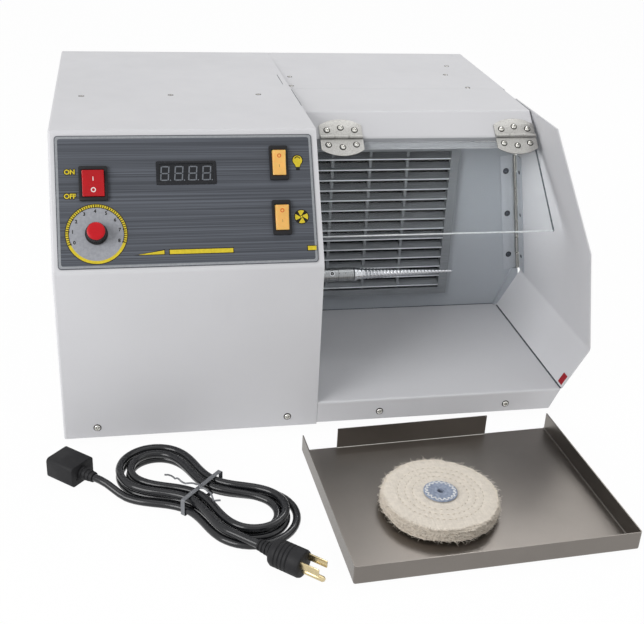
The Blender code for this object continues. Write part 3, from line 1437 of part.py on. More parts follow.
# Control board on four standoffs behind the panel
board = box(
    "control_board",
    (BOARD_LEFT, BOARD_LOW, -BOARD_DROP),
    (BOARD_LEFT + BOARD_WIDTH, BOARD_LOW + BOARD_HEIGHT, -BOARD_DROP + BOARD_THICKNESS),
    "board",
    PANEL,
)
for across in (BOARD_LEFT + STANDOFF_INSET, BOARD_LEFT + BOARD_WIDTH - STANDOFF_INSET):
    for up in (BOARD_LOW + STANDOFF_INSET, BOARD_LOW + BOARD_HEIGHT - STANDOFF_INSET):
        title = f"standoff_{round(across, 3)}_{round(up, 3)}"
        post_low = -BOARD_DROP + BOARD_THICKNESS / 2
        join(board, panel_rod(title, (across, up), STANDOFF_RADIUS, post_low, -FIT))
for index, (across, wide, high, rise) in enumerate(BOARD_PARTS):
    block = box(
        f"board_part_{index}",
        (BOARD_LEFT + across, BOARD_LOW + 2 * STANDOFF_INSET, -BOARD_DROP + BOARD_THICKNESS / 2),
        (BOARD_LEFT + across + wide / 2, BOARD_LOW + 2 * STANDOFF_INSET + high, -BOARD_DROP + BOARD_THICKNESS + rise),
        None,
        PANEL,
    )
    join(board, block)

# Lamp under the hood
lamp_top = roof_z(LAMP_FRONT_Y) - SHEET - 2 * GAP
lamp = box(
    "lamp_holder",
    (LAMP_LEFT, LAMP_FRONT_Y, lamp_top - LAMP_DROP),
    (LAMP_RIGHT, LAMP_FRONT_Y + LAMP_DEPTH, lamp_top),
    "white_plastic",
)
lamp_y = LAMP_FRONT_Y + LAMP_DEPTH / 2
lamp_z = lamp_top - LAMP_TUBE_DROP
for side, low_x in (("left", LAMP_LEFT), ("right", LAMP_RIGHT - LAMP_END)):
    block = box(
        f"lamp_{side}_end",
        (low_x, LAMP_FRONT_Y + GAP, lamp_top - LAMP_END_DROP),
        (low_x + LAMP_END, LAMP_FRONT_Y + LAMP_DEPTH - GAP, lamp_top - LAMP_DROP + OVERLAP),
    )
    join(lamp, block)
tube_left = LAMP_LEFT + LAMP_END - LAMP_SOCKET
tube_right = LAMP_RIGHT - LAMP_END + LAMP_SOCKET
cut(lamp, rod("lamp_sockets", (tube_left - GAP, lamp_y, lamp_z), (tube_right + GAP, lamp_y, lamp_z), LAMP_TUBE + GAP))
rod("lamp_tube", (tube_left, lamp_y, lamp_z), (tube_right, lamp_y, lamp_z), LAMP_TUBE, "lamp_glass")

# Feet
foot_top = FOOT_HEIGHT - GAP
foot_profile = [
    (0, foot_top),
    (FOOT_TOP_RADIUS, foot_top),
    (FOOT_TOP_RADIUS, foot_top - OVERLAP),
    (FOOT_BOTTOM_RADIUS, 0),
    (0, 0),
]
for title, foot_x, foot_y in (
    ("foot_front_left", FOOT_LEFT_X, FOOT_FRONT_Y),
    ("foot_front_right", FOOT_RIGHT_X, FOOT_FRONT_Y),
    ("foot_rear_left", FOOT_LEFT_X, FOOT_REAR_Y),
    ("foot_rear_right", FOOT_RIGHT_X, FOOT_REAR_Y),
):
    turned(title, foot_profile, "rubber", Matrix.Translation((foot_x, foot_y, 0)))

# Power inlet in the rear panel
inlet_face = CASE_DEPTH - REAR_INSET + GAP
inlet_matrix = frame_matrix(Vector((INLET_X, inlet_face, INLET_Z)), Vector((-1, 0, 0)), Vector((0, 0, 1)), Vector((0, 1, 0)))
inlet = plate("power_inlet", rectangle((0, 0), INLET_FLANGE, LABEL_CORNER), INLET_FLANGE_DEPTH, "black", inlet_matrix)
half_x, half_y = (side / 2 for side in INLET_BODY)
join(inlet, box("inlet_core", (-half_x, -half_y, -INLET_DEPTH), (half_x, half_y, OVERLAP), None, inlet_matrix))
half_x, half_y = (side / 2 for side in INLET_WELL)
well_floor = INLET_FLANGE_DEPTH - INLET_WELL_DEPTH
well_mouth = INLET_FLANGE_DEPTH + CUT_MARGIN
cut(inlet, box("inlet_well", (-half_x, -half_y, well_floor), (half_x, half_y, well_mouth), None, inlet_matrix))
for index, raise_by in ((-1, -INLET_PIN_RAISE), (0, INLET_PIN_RAISE), (1, -INLET_PIN_RAISE)):
    pin_x = index * INLET_PIN_SPREAD
    pin = box(
        f"inlet_pin_{index + 1}",
        (pin_x - INLET_PIN[0] / 2, raise_by - INLET_PIN[1] / 2, well_floor - OVERLAP),
        (pin_x + INLET_PIN[0] / 2, raise_by + INLET_PIN[1] / 2, well_floor + INLET_PIN_LENGTH),
        None,
        inlet_matrix,
    )
    join(inlet, pin)

# Dust tray, open at the rear but for a stop
tray_frame = Matrix.Translation((TRAY_X, TRAY_Y, 0)) @ Matrix.Rotation(TRAY_TURN, 4, "Z")
half_x = TRAY_WIDTH / 2
half_y = TRAY_DEPTH / 2
tray_signs = ((-1, -1), (1, -1), (1, 1), (-1, 1))
tray_profile = [tray_frame @ Vector((sign_x * half_x, sign_y * half_y, 0)) for sign_x, sign_y in tray_signs]
rear_way = tray_frame.to_3x3() @ Vector((0, 1, 0))
tray = folded(
    "dust_tray", tray_profile, (0, 0, TRAY_WALL_HEIGHT), ((0, 0, 1), rear_way), "stainless", TRAY_SHEET, None, TRAY_JOINT
)
stop_left = -half_x + TRAY_STOP_LEFT
stop = box(
    "tray_stop",
    (stop_left, half_y - TRAY_SHEET, 0),
    (stop_left + TRAY_STOP_WIDTH, half_y, TRAY_STOP_HEIGHT),
    None,
    tray_frame,
    TRAY_JOINT,
)
join(tray, stop)

# Buff: cloth plies round a centre disc
buff_low = TRAY_SHEET + CENTRE_FLANGE + 2 * GAP
buff_high = buff_low + BUFF_THICKNESS
buff_profile = [(BUFF_HOLE, buff_high), (BUFF_RADIUS - BUFF_EDGE, buff_high)]
for index in range(BUFF_PLIES):
    top = buff_high - (index + 1 / 4) * BUFF_THICKNESS / BUFF_PLIES
    low = buff_high - (index + 3 / 4) * BUFF_THICKNESS / BUFF_PLIES
    groove = buff_high - (index + 1) * BUFF_THICKNESS / BUFF_PLIES
    buff_profile += [(BUFF_RADIUS, top), (BUFF_RADIUS, low)]
    if index < BUFF_PLIES - 1:
        buff_profile.append((BUFF_RADIUS - BUFF_PLY_DEPTH, groove))
buff_profile += [(BUFF_RADIUS - BUFF_EDGE, buff_low), (BUFF_HOLE, buff_low)]
buff_frame = Matrix.Translation((BUFF_X, BUFF_Y, 0))
turned("buff_disc", buff_profile, "cotton", buff_frame, BUFF_JOINT, BUFF_STEPS, True)
centre_low = buff_low - GAP
centre_high = buff_high + GAP
centre_profile = [
    (CENTRE_BORE, centre_high + CENTRE_FLANGE),
    (CENTRE_RADIUS, centre_high + CENTRE_FLANGE),
    (CENTRE_RADIUS, centre_high),
    (CENTRE_SLEEVE, centre_high),
    (CENTRE_SLEEVE, centre_low),
    (CENTRE_RADIUS, centre_low),
    (CENTRE_RADIUS, centre_low - CENTRE_FLANGE),
    (CENTRE_BORE, centre_low - CENTRE_FLANGE),
]
turned("buff_centre", centre_profile, "fibre", buff_frame, BUFF_JOINT, BUFF_STEPS, True)


# Mains lead


HANK_FRAME = Matrix.Translation((HANK_X, HANK_Y, 0)) @ Matrix.Rotation(HANK_TURN, 4, "Z")


def hank_point(turns):
    """Return the cord's centre after a number of turns, in the hank's own frame."""
    climbed = turns - HANK_LOW_TURNS
    if climbed <= 0:
        radius = HANK_OUTER - HANK_SPACING * turns
        height = HANK_LOW_Z
    elif climbed <= HANK_CLIMB_TURNS:
        radius = HANK_INNER
        ease = (1 - math.cos(math.pi * climbed / HANK_CLIMB_TURNS)) / 2
        height = HANK_LOW_Z + HANK_LAYER * ease
    else:
        radius = HANK_INNER + HANK_HIGH_SPACING * (climbed - HANK_CLIMB_TURNS)
        height = HANK_HIGH_Z
    quarter = turns % 1 * 4
    half = HANK_RUN / 2
    if quarter < 1:
        x = -half + HANK_RUN * quarter
        y = -radius
    elif quarter < 2:
        angle = math.pi * (quarter - 1) - math.pi / 2
        x = half + radius * math.cos(angle)
        y = radius * math.sin(angle)
    elif quarter < 3:
        x = half - HANK_RUN * (quarter - 2)
        y = radius
    else:
        angle = math.pi * (quarter - 3) + math.pi / 2
        x = -half + radius * math.cos(angle)
        y = radius * math.sin(angle)
    if abs(x) < half:
        pull = HANK_WAIST * (1 + math.cos(2 * math.pi * x / HANK_RUN)) / 2
        y -= math.copysign(pull, y)
    return Vector((x, y, height))


HANK_TURNS = HANK_LOW_TURNS + HANK_CLIMB_TURNS + HANK_HIGH_TURNS
hank_start = hank_point(0)
hank_end = hank_point(HANK_TURNS)
cord_route = []
tail_start_x = hank_start.x - TAIL_RISE_RUN
cord_route.append(Vector((tail_start_x - TAIL_STRAIGHT, hank_start.y, CONNECTOR_Z)))
for step in range(TAIL_POINTS + 1):
    ease_share = (1 - math.cos(math.pi * step / TAIL_POINTS)) / 2
    x = tail_start_x + TAIL_RISE_RUN * step / TAIL_POINTS
    if step < TAIL_POINTS:
        cord_route.append(Vector((x, hank_start.y, CONNECTOR_Z + (HANK_LOW_Z - CONNECTOR_Z) * ease_share)))
turn_points = round(HANK_TURNS * POINTS_PER_TURN)
for step in range(turn_points + 1):
    cord_route.append(hank_point(step / POINTS_PER_TURN))
for step in range(1, TAIL_POINTS + 1):
    cord_route.append(hank_end + Vector((TAIL_OUT_RUN * step / TAIL_POINTS, 0, 0)))

cord_curve = bpy.data.curves.new("mains_lead_hank", "CURVE")
cord_curve.dimensions = "3D"
cord_curve.bevel_depth = CORD_RADIUS
cord_curve.bevel_resolution = 1
cord_curve.use_fill_caps = True
cord_spline = cord_curve.splines.new("POLY")
cord_spline.points.add(len(cord_route) - 1)
for point, place in zip(cord_spline.points, cord_route):
    point.co = (*place, 1)
put("mains_lead_hank", cord_curve, "cord", HANK_FRAME)
cord_length = sum((two - one).length for one, two in zip(cord_route, cord_route[1:]))

# Tie round the hank's waist
waist = [hank_point(step / 2 + 1 / 8) for step in range(math.ceil(2 * HANK_TURNS))]
tie_low_y = min(place.y for place in waist) - CORD_RADIUS - TIE_PLAY
tie_high_y = max(place.y for place in waist) + CORD_RADIUS + TIE_PLAY
tie_low_z = HANK_LOW_Z - CORD_RADIUS - GAP
tie_high_z = HANK_HIGH_Z + CORD_RADIUS + TIE_PLAY
tie_centre = ((tie_low_y + tie_high_y) / 2, (tie_low_z + tie_high_z) / 2)
tie_inner = (tie_high_y - tie_low_y, tie_high_z - tie_low_z)
tie_outer = tuple(side + 2 * TIE_THICKNESS for side in tie_inner)
tie_matrix = HANK_FRAME @ frame_matrix(
    Vector((-TIE_WIDTH / 2, 0, 0)), Vector((0, 1, 0)), Vector((0, 0, 1)), Vector((1, 0, 0))
)
plate(
    "lead_tie",
    rectangle(tie_centre, tie_outer, TIE_CORNER / 4 + TIE_THICKNESS),
    TIE_WIDTH,
    "tie",
    tie_matrix,
    [rectangle(tie_centre, tie_inner, TIE_CORNER / 4)],
)

# Plug: strain relief, round body, two blades and an earth pin
plug_matrix = HANK_FRAME @ frame_matrix(
    cord_route[-1] + Vector((GAP, 0, 0)), Vector((0, 1, 0)), Vector((0, 0, 1)), Vector((1, 0, 0))
)
plug_face = RELIEF_LENGTH + PLUG_LENGTH
plug_profile = [
    (0, plug_face),
    (PLUG_RADIUS - PLUG_ROUND, plug_face),
    (PLUG_RADIUS, plug_face - PLUG_ROUND),
    (PLUG_RADIUS, RELIEF_LENGTH + PLUG_ROUND),
    (PLUG_RADIUS - PLUG_ROUND, RELIEF_LENGTH),
    (RELIEF_LARGE, RELIEF_LENGTH),
    (RELIEF_SMALL, 0),
    (0, 0),
]
plug = turned("mains_plug", plug_profile, "black", plug_matrix)
blade_length, blade_width, blade_thickness = BLADE_SIZE
for index in (-1, 1):
    blade = box(
        f"plug_blade_{index + 1}",
        (index * BLADE_SPREAD - blade_thickness / 2, BLADE_RAISE - blade_width / 2, plug_face - OVERLAP),
        (index * BLADE_SPREAD + blade_thickness / 2, BLADE_RAISE + blade_width / 2, plug_face + blade_length),
        None,
        plug_matrix,
    )
    join(plug, blade)
earth_start = plug_matrix @ Vector((0, -EARTH_PIN_DROP, plug_face - OVERLAP))
earth_end = plug_matrix @ Vector((0, -EARTH_PIN_DROP, plug_face + EARTH_PIN_LENGTH))
join(plug, rod("plug_earth_pin", earth_start, earth_end, EARTH_PIN_RADIUS, steps=BARREL_STEPS))

# Connector for the machine's inlet
connector_matrix = HANK_FRAME @ frame_matrix(
    cord_route[0] - Vector((GAP, 0, 0)), Vector((0, -1, 0)), Vector((0, 0, 1)), Vector((-1, 0, 0))
)
relief_profile = [(0, RELIEF_LENGTH + OVERLAP), (RELIEF_LARGE, RELIEF_LENGTH + OVERLAP), (RELIEF_SMALL, 0), (0, 0)]
connector = turned("mains_connector", relief_profile, "black", connector_matrix)
half_x = CONNECTOR_WIDTH / 2
half_y = CONNECTOR_HEIGHT / 2
connector_face = RELIEF_LENGTH + CONNECTOR_LENGTH
shell = box(
    "connector_shell", (-half_x, -half_y, RELIEF_LENGTH), (half_x, half_y, connector_face), None, connector_matrix
)
join(connector, round_edges(shell, PLUG_ROUND / 2))
for index, raise_by in ((-1, -CONNECTOR_SLOT_RAISE), (0, CONNECTOR_SLOT_RAISE), (1, -CONNECTOR_SLOT_RAISE)):
    slot_x = index * CONNECTOR_SLOT_SPREAD
    slot = box(
        f"connector_slot_{index + 1}",
        (slot_x - CONNECTOR_SLOT[1] / 2, raise_by - CONNECTOR_SLOT[0] / 2, connector_face - CONNECTOR_SLOT_DEPTH),
        (slot_x + CONNECTOR_SLOT[1] / 2, raise_by + CONNECTOR_SLOT[0] / 2, connector_face + CUT_MARGIN),
        None,
        connector_matrix,
    )
    cut(connector, slot)


# Places of the joints, in the set's own frame


def least_self_gap(route, skip):
    """Return the smallest clear distance between stretches of the cord that aren't neighbours."""
    return min(
        (one - two).length - 2 * CORD_RADIUS
        for index, one in enumerate(route)
        for two in route[index + skip :]
    )


def finely(route, parts=6):
    """Return the route with points added between its own."""
    fine = []
    for one, two in zip(route, route[1:]):
        fine += [one.lerp(two, step / parts) for step in range(parts)]
    return [*fine, route[-1]]


ROOT_SHIFT = SET.location
for title, place, way in (
    ("side_door", HINGE_LOW, HINGE_UP),
    ("shield", SHIELD_AXIS, Vector((-1, 0, 0))),
    ("spindle", Vector((TAPER_START_X, SHAFT_Y, SHAFT_Z)), Vector((1, 0, 0))),
    ("fan", Vector((FAN_X, PAN_REAR_Y, FAN_Z)), Vector((0, 1, 0))),
    ("knob", PANEL @ Vector((*DIAL_AT, 0)), -PANEL_OUT),
    ("panel up", PANEL @ Vector((0, 0, 0)), PANEL_UP),
    *((title, reach(bpy.data.objects[title + "_pivot"]), Vector((-1, 0, 0))) for title, *_ in SWITCHES),
):
    world = place + ROOT_SHIFT
    print("joint", title, [round(value, 6) for value in world], [round(value, 6) for value in way])
print("root shift", [round(value, 6) for value in ROOT_SHIFT])
print("cord length", round(cord_length, 4), "least gap to itself", round(least_self_gap(finely(cord_route), 90), 5))
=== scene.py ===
"""Looks of a jewellery polishing machine: sheet-metal cabinet with an extraction bay, tray, buff and lead.

Metres throughout. Places are written in the machine's own frame: X from the cabinet's left side,
Y from its front face towards the rear, Z from the bench. The control panel has a frame of its own,
with X across, Y up its lean and Z out of it.
"""

import json
import logging
import math
from collections.abc import Callable, Iterable, Sequence
from dataclasses import dataclass, field
from enum import Enum

import bmesh
import bpy
from mathutils import Matrix, Vector, noise

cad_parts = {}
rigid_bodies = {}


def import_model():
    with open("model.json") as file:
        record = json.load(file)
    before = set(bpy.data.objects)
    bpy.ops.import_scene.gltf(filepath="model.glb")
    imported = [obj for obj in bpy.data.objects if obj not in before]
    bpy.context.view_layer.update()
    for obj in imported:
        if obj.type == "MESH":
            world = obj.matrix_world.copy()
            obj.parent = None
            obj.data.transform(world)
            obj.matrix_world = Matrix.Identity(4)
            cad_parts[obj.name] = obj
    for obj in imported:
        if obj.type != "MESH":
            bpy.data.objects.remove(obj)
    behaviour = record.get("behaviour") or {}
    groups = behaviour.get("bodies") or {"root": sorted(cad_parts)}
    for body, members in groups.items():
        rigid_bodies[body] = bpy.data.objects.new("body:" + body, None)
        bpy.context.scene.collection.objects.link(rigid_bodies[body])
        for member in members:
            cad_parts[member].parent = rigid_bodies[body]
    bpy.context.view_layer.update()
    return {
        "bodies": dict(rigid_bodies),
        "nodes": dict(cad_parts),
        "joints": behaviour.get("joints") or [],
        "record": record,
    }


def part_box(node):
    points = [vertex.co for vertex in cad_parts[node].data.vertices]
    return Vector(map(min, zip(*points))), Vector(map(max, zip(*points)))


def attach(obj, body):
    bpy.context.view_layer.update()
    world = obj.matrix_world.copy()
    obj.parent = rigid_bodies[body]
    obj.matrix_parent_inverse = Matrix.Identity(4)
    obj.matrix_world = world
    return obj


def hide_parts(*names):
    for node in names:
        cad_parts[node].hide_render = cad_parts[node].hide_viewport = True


LOG = logging.getLogger("polishing_machine")

Colour = tuple[float, float, float]
Outline = list[tuple[float, float]]
Socket = bpy.types.NodeSocket


class Body(Enum):
    """The bodies that move apart from each other."""

    MACHINE = "machine"
    DOOR = "side_door"
    SHIELD = "shield"
    MAIN = "main_rocker"
    LIGHT = "light_rocker"
    FAN = "fan_rocker"
    KNOB = "knob"
    SPINDLE = "spindle"
    IMPELLER = "impeller"
    TRAY = "tray"
    BUFF = "buff"


def screen(red: float, green: float, blue: float) -> Colour:
    """Turn a colour from screen values into linear light.

    Args:
        red: Red from 0 to 255.
        green: Green from 0 to 255.
        blue: Blue from 0 to 255.

    Returns:
        The three linear values.
    """
    shares = (red / 255, green / 255, blue / 255)
    return tuple(s / 12.92 if s <= 0.04045 else ((s + 0.055) / 1.055) ** 2.4 for s in shares)


def toned(colour: Colour, share: float) -> Colour:
    """Return a colour made lighter or darker by a share."""
    return tuple(min(1.0, value * share) for value in colour)


class Shader:
    """The node tree of one material, with the patterns that the finishes share."""

    def __init__(self, name: str) -> None:
        """Start a material with one Principled surface.

        Args:
            name: The material's name.
        """
        self.material = bpy.data.materials.new(name)
        self.material.use_nodes = True
        self.nodes = self.material.node_tree.nodes
        self.links = self.material.node_tree.links
        self.skin = self.nodes["Principled BSDF"]

    def feed(self, socket: Socket, value: object) -> None:
        """Give a socket a link, a colour or a number.

        Args:
            socket: The input to set.
            value: Another node's output, a colour of three values, or a plain value.
        """
        if isinstance(value, bpy.types.NodeSocket):
            self.links.new(value, socket)
        elif socket.type == "RGBA":
            socket.default_value = (*value, 1)
        else:
            socket.default_value = value

    def node(self, kind: str, inputs: dict | None = None, **settings: object) -> bpy.types.Node:
        """Add a node.

        Args:
            kind: The node's type after the ShaderNode prefix.
            inputs: Values or links by input name or number.
            **settings: Attributes of the node itself.

        Returns:
            The new node.
        """
        made = self.nodes.new("ShaderNode" + kind)
        for key, value in settings.items():
            setattr(made, key, value)
        for key, value in (inputs or {}).items():
            self.feed(made.inputs[key], value)
        return made

    def place(self, stretch: Sequence[float] = (1, 1, 1), turn: float = 0.0) -> Socket:
        """Return object coordinates, stretched and turned about Z."""
        here = self.node("TexCoord").outputs["Object"]
        inputs = {"Vector": here, "Scale": stretch, "Rotation": (0, 0, turn)}
        return self.node("Mapping", inputs).outputs["Vector"]

    def noise(self, scale: float, detail: float = 2.0, stretch: Sequence[float] = (1, 1, 1), turn: float = 0.0) -> Socket:
        """Return a noise pattern from 0 to 1.

        Args:
            scale: Waves in a metre.
            detail: Octaves of finer noise.
            stretch: Factors on the coordinates, small along a streak.
            turn: Turn of the pattern about Z.

        Returns:
            The pattern's output.
        """
        inputs = {"Vector": self.place(stretch, turn), "Scale": scale, "Detail": detail, "Roughness": 0.55}
        return self.node("TexNoise", inputs).outputs["Fac"]

    def spread(self, value: Socket, low: float, high: float, first: float, last: float) -> Socket:
        """Map a pattern from one range to another, held at the ends."""
        inputs = {"Value": value, "From Min": low, "From Max": high, "To Min": first, "To Max": last}
        return self.node("MapRange", inputs).outputs["Result"]

    def blend(self, share: Socket | float, one: Socket | Colour, two: Socket | Colour) -> Socket:
        """Mix two colours by a share."""
        return self.node("Mix", {0: share, 6: one, 7: two}, data_type="RGBA").outputs[2]

    def calc(self, operation: str, one: Socket | float, two: Socket | float) -> Socket:
        """Work out one number from two."""
        return self.node("Math", {0: one, 1: two}, operation=operation).outputs[0]

    def edges(self, radius: float) -> Socket:
        """Return a mask that is 1 on hard edges and 0 on flat faces."""
        rounded = self.node("Bevel", {"Radius": radius}, samples=4).outputs["Normal"]
        flat = self.node("NewGeometry").outputs["True Normal"]
        facing = self.node("VectorMath", {0: rounded, 1: flat}, operation="DOT_PRODUCT").outputs["Value"]
        return self.spread(facing, 0.995, 0.90, 0.0, 1.0)

    def bump(self, height: Socket, distance: float, under: Socket | None = None) -> Socket:
        """Return the normal of a relief.

        Args:
            height: The pattern that gives the relief.
            distance: Its depth in metres.
            under: The normal of a coarser relief that this one lies on.

        Returns:
            The normal's output.
        """
        inputs = {"Height": height, "Distance": distance, "Strength": 1.0}
        if under is not None:
            inputs["Normal"] = under
        return self.node("Bump", inputs).outputs["Normal"]

    def done(self, inputs: dict) -> bpy.types.Material:
        """Set the surface's inputs and return the material."""
        for key, value in inputs.items():
            self.feed(self.skin.inputs[key], value)
        return self.material


@dataclass(frozen=True)
class Paint:
    """Powder paint on sheet metal, with orange peel, faint dirt and a painted highlight along its hard edges."""

    name: str
    colour: Colour
    roughness: float = 0.46
    dirt: float = 0.03

    def material(self) -> bpy.types.Material:
        """Make the material."""
        shader = Shader(self.name)
        cloud = shader.spread(shader.noise(7, 3), 0.35, 0.65, 0.0, 1.0)
        body = shader.blend(cloud, toned(self.colour, 1 - self.dirt), toned(self.colour, 1.015))
        grime = shader.spread(shader.noise(28, 5, (1, 1, 0.35)), 0.60, 0.78, 0.0, 0.35)
        body = shader.blend(grime, body, toned(self.colour, 0.90))
        grain = shader.spread(shader.noise(1500, 1), 0.3, 0.7, 0.0, 0.25)
        body = shader.blend(grain, body, toned(self.colour, 0.94))
        # painted highlight: hard edges lightened a little
        body = shader.blend(shader.calc("MULTIPLY", shader.edges(0.0006), 0.4), body, toned(self.colour, 1.06))
        gloss = shader.spread(shader.noise(45, 3), 0.3, 0.7, self.roughness - 0.05, self.roughness + 0.06)
        peel = shader.bump(shader.noise(620, 2), 0.00004)
        return shader.done({"Base Color": body, "Roughness": gloss, "Normal": peel, "Specular IOR Level": 0.30})


@dataclass(frozen=True)
class Metal:
    """Bare metal, brushed one way or evenly grained, with stains."""

    name: str
    colour: Colour
    roughness: float = 0.35
    brush: tuple[float, float, float] = (1, 1, 1)
    turn: float = 0.0
    scale: float = 700.0
    depth: float = 0.00003
    stain: float = 0.12
    contrast: float = 0.10
    metallic: float = 1.0

    def material(self) -> bpy.types.Material:
        """Make the material."""
        shader = Shader(self.name)
        grain = shader.noise(self.scale, 3, self.brush, self.turn)
        cloud = shader.noise(22, 4)
        light = toned(self.colour, 1 + self.contrast)
        dark = toned(self.colour, 1 - self.contrast)
        body = shader.blend(shader.spread(grain, 0.3, 0.7, 0.0, 1.0), dark, light)
        body = shader.blend(shader.spread(cloud, 0.45, 0.72, 0.0, self.stain), body, toned(self.colour, 0.62))
        gloss = shader.spread(grain, 0.25, 0.75, self.roughness - 0.07, self.roughness + 0.09)
        inputs = {"Base Color": body, "Roughness": gloss, "Metallic": self.metallic}
        return shader.done({**inputs, "Normal": shader.bump(grain, self.depth)})


@dataclass(frozen=True)
class Plastic:
    """Moulded plastic or rubber, with a fine grain, scuffs and a coat where it is glossy."""

    name: str
    colour: Colour
    roughness: float = 0.4
    coat: float = 0.0
    glow: float = 0.0
    grain: float = 900.0
    depth: float = 0.00002
    shine: float = 0.25

    def material(self) -> bpy.types.Material:
        """Make the material."""
        shader = Shader(self.name)
        pores = shader.noise(self.grain, 2)
        cloud = shader.spread(shader.noise(60, 4), 0.4, 0.7, 0.0, 1.0)
        body = shader.blend(cloud, toned(self.colour, 0.92), toned(self.colour, 1.06))
        scuff = shader.spread(shader.noise(160, 5, (1, 0.2, 1)), 0.66, 0.80, 0.0, 0.35)
        body = shader.blend(scuff, body, tuple(value + 0.012 for value in self.colour))
        gloss = shader.spread(shader.noise(90, 4), 0.3, 0.7, self.roughness - 0.05, self.roughness + 0.08)
        inputs = {"Base Color": body, "Roughness": gloss, "Normal": shader.bump(pores, self.depth)}
        inputs["Specular IOR Level"] = self.shine
        if self.coat:
            inputs |= {"Coat Weight": self.coat, "Coat Roughness": 0.08}
        if self.glow:
            inputs |= {"Subsurface Weight": self.glow, "Subsurface Scale": 0.004}
        return shader.done(inputs)


@dataclass(frozen=True)
class BrushedLabel:
    """A dark foil label with fine light streaks across it."""

    name: str
    dark: Colour
    light: Colour

    def material(self) -> bpy.types.Material:
        """Make the material."""
        shader = Shader(self.name)
        fine = shader.spread(shader.noise(1, 4, (3, 1100, 1100)), 0.44, 0.70, 0.0, 1.0)
        broad = shader.spread(shader.noise(1, 3, (1.5, 330, 330)), 0.45, 0.70, 0.0, 0.7)
        body = shader.blend(fine, self.dark, self.light)
        body = shader.blend(broad, body, toned(self.light, 0.94))
        gloss = shader.spread(fine, 0.0, 1.0, 0.56, 0.44)
        relief = shader.bump(fine, 0.00001)
        inputs = {"Base Color": body, "Roughness": gloss, "Metallic": 0.05, "Normal": relief}
        return shader.done({**inputs, "Specular IOR Level": 0.2})


@dataclass(frozen=True)
class Ink:
    """Printed ink with a slightly uneven coat."""

    name: str
    colour: Colour
    roughness: float = 0.5

    def material(self) -> bpy.types.Material:
        """Make the material."""
        shader = Shader(self.name)
        cover = shader.spread(shader.noise(420, 4), 0.35, 0.7, 0.0, 1.0)
        body = shader.blend(cover, toned(self.colour, 0.86), toned(self.colour, 1.05))
        gloss = shader.spread(cover, 0.0, 1.0, self.roughness - 0.06, self.roughness + 0.06)
        inputs = {"Base Color": body, "Roughness": gloss, "Normal": shader.bump(cover, 0.00001)}
        return shader.done({**inputs, "Specular IOR Level": 0.2})


@dataclass(frozen=True)
class Clear:
    """Clear acrylic or glass with faint wipe marks."""

    name: str
    tint: Colour = (0.98, 0.99, 0.99)
    roughness: float = 0.0
    index: float = 1.12

    def material(self) -> bpy.types.Material:
        """Make the material."""
        shader = Shader(self.name)
        wipe = shader.spread(shader.noise(35, 5, (1, 0.25, 1)), 0.5, 0.8, 0.0, 1.0)
        gloss = shader.spread(wipe, 0.0, 1.0, self.roughness, self.roughness + 0.012)
        body = shader.blend(wipe, self.tint, toned(self.tint, 0.98))
        inputs = {"Base Color": body, "Roughness": gloss, "IOR": self.index, "Transmission Weight": 1.0}
        material = shader.done({**inputs, "Specular IOR Level": 0.06})
        lamp_ray = shader.node("LightPath").outputs["Is Shadow Ray"]
        passed = shader.node("BsdfTransparent", {"Color": (0.96, 0.97, 0.97)}).outputs[0]
        seen = shader.node("MixShader", {0: lamp_ray, 1: shader.skin.outputs[0], 2: passed}).outputs[0]
        shader.feed(shader.nodes["Material Output"].inputs["Surface"], seen)
        return material


@dataclass(frozen=True)
class Cloth:
    """Woven cotton, with yarns over and under, slubs and soiled folds."""

    name: str
    colour: Colour
    yarn: float = 1300.0
    depth: float = 0.00012
    soil: float = 0.30

    def material(self) -> bpy.types.Material:
        """Make the material."""
        shader = Shader(self.name)
        wave = {"Scale": self.yarn / 10, "Distortion": 1.4, "Detail": 2.0, "Vector": shader.place()}
        warp = shader.node("TexWave", wave, bands_direction="X").outputs["Fac"]
        weft = shader.node("TexWave", wave, bands_direction="Y").outputs["Fac"]
        weave = shader.calc("MAXIMUM", warp, weft)
        slub = shader.spread(shader.noise(240, 4), 0.35, 0.7, 0.0, 1.0)
        body = shader.blend(slub, toned(self.colour, 0.90), toned(self.colour, 1.05))
        body = shader.blend(shader.calc("MULTIPLY", weave, 0.18), body, toned(self.colour, 1.15))
        patch = shader.spread(shader.noise(55, 5), 0.55, 0.8, 0.0, self.soil)
        body = shader.blend(patch, body, toned(self.colour, 0.80))
        relief = shader.bump(weave, self.depth, shader.bump(slub, self.depth * 2))
        inputs = {"Base Color": body, "Roughness": 0.9, "Normal": relief}
        return shader.done({**inputs, "Sheen Weight": 0.25, "Sheen Roughness": 0.5})


@dataclass(frozen=True)
class Fibre:
    """Pressed fibre board or felt, mottled and rough."""

    name: str
    colour: Colour
    fleck: Colour
    scale: float = 500.0
    depth: float = 0.0002

    def material(self) -> bpy.types.Material:
        """Make the material."""
        shader = Shader(self.name)
        felt = shader.noise(self.scale, 5)
        cells = shader.node("TexVoronoi", {"Scale": self.scale / 2, "Vector": shader.place()}).outputs["Distance"]
        body = shader.blend(shader.spread(felt, 0.38, 0.66, 0.0, 1.0), self.colour, self.fleck)
        body = shader.blend(shader.spread(cells, 0.0, 0.5, 0.35, 0.0), body, toned(self.colour, 0.7))
        relief = shader.bump(felt, self.depth)
        return shader.done({"Base Color": body, "Roughness": 0.88, "Normal": relief})


@dataclass(frozen=True)
class Glossy:
    """A dark window or a bright glass tube, smooth with a little dust."""

    name: str
    colour: Colour
    roughness: float = 0.12

    def material(self) -> bpy.types.Material:
        """Make the material."""
        shader = Shader(self.name)
        dust = shader.spread(shader.noise(700, 5), 0.58, 0.75, 0.0, 0.25)
        body = shader.blend(dust, self.colour, tuple(value + 0.05 for value in self.colour))
        gloss = shader.spread(dust, 0.0, 0.25, self.roughness, self.roughness + 0.2)
        return shader.done({"Base Color": body, "Roughness": gloss, "Specular IOR Level": 0.3})


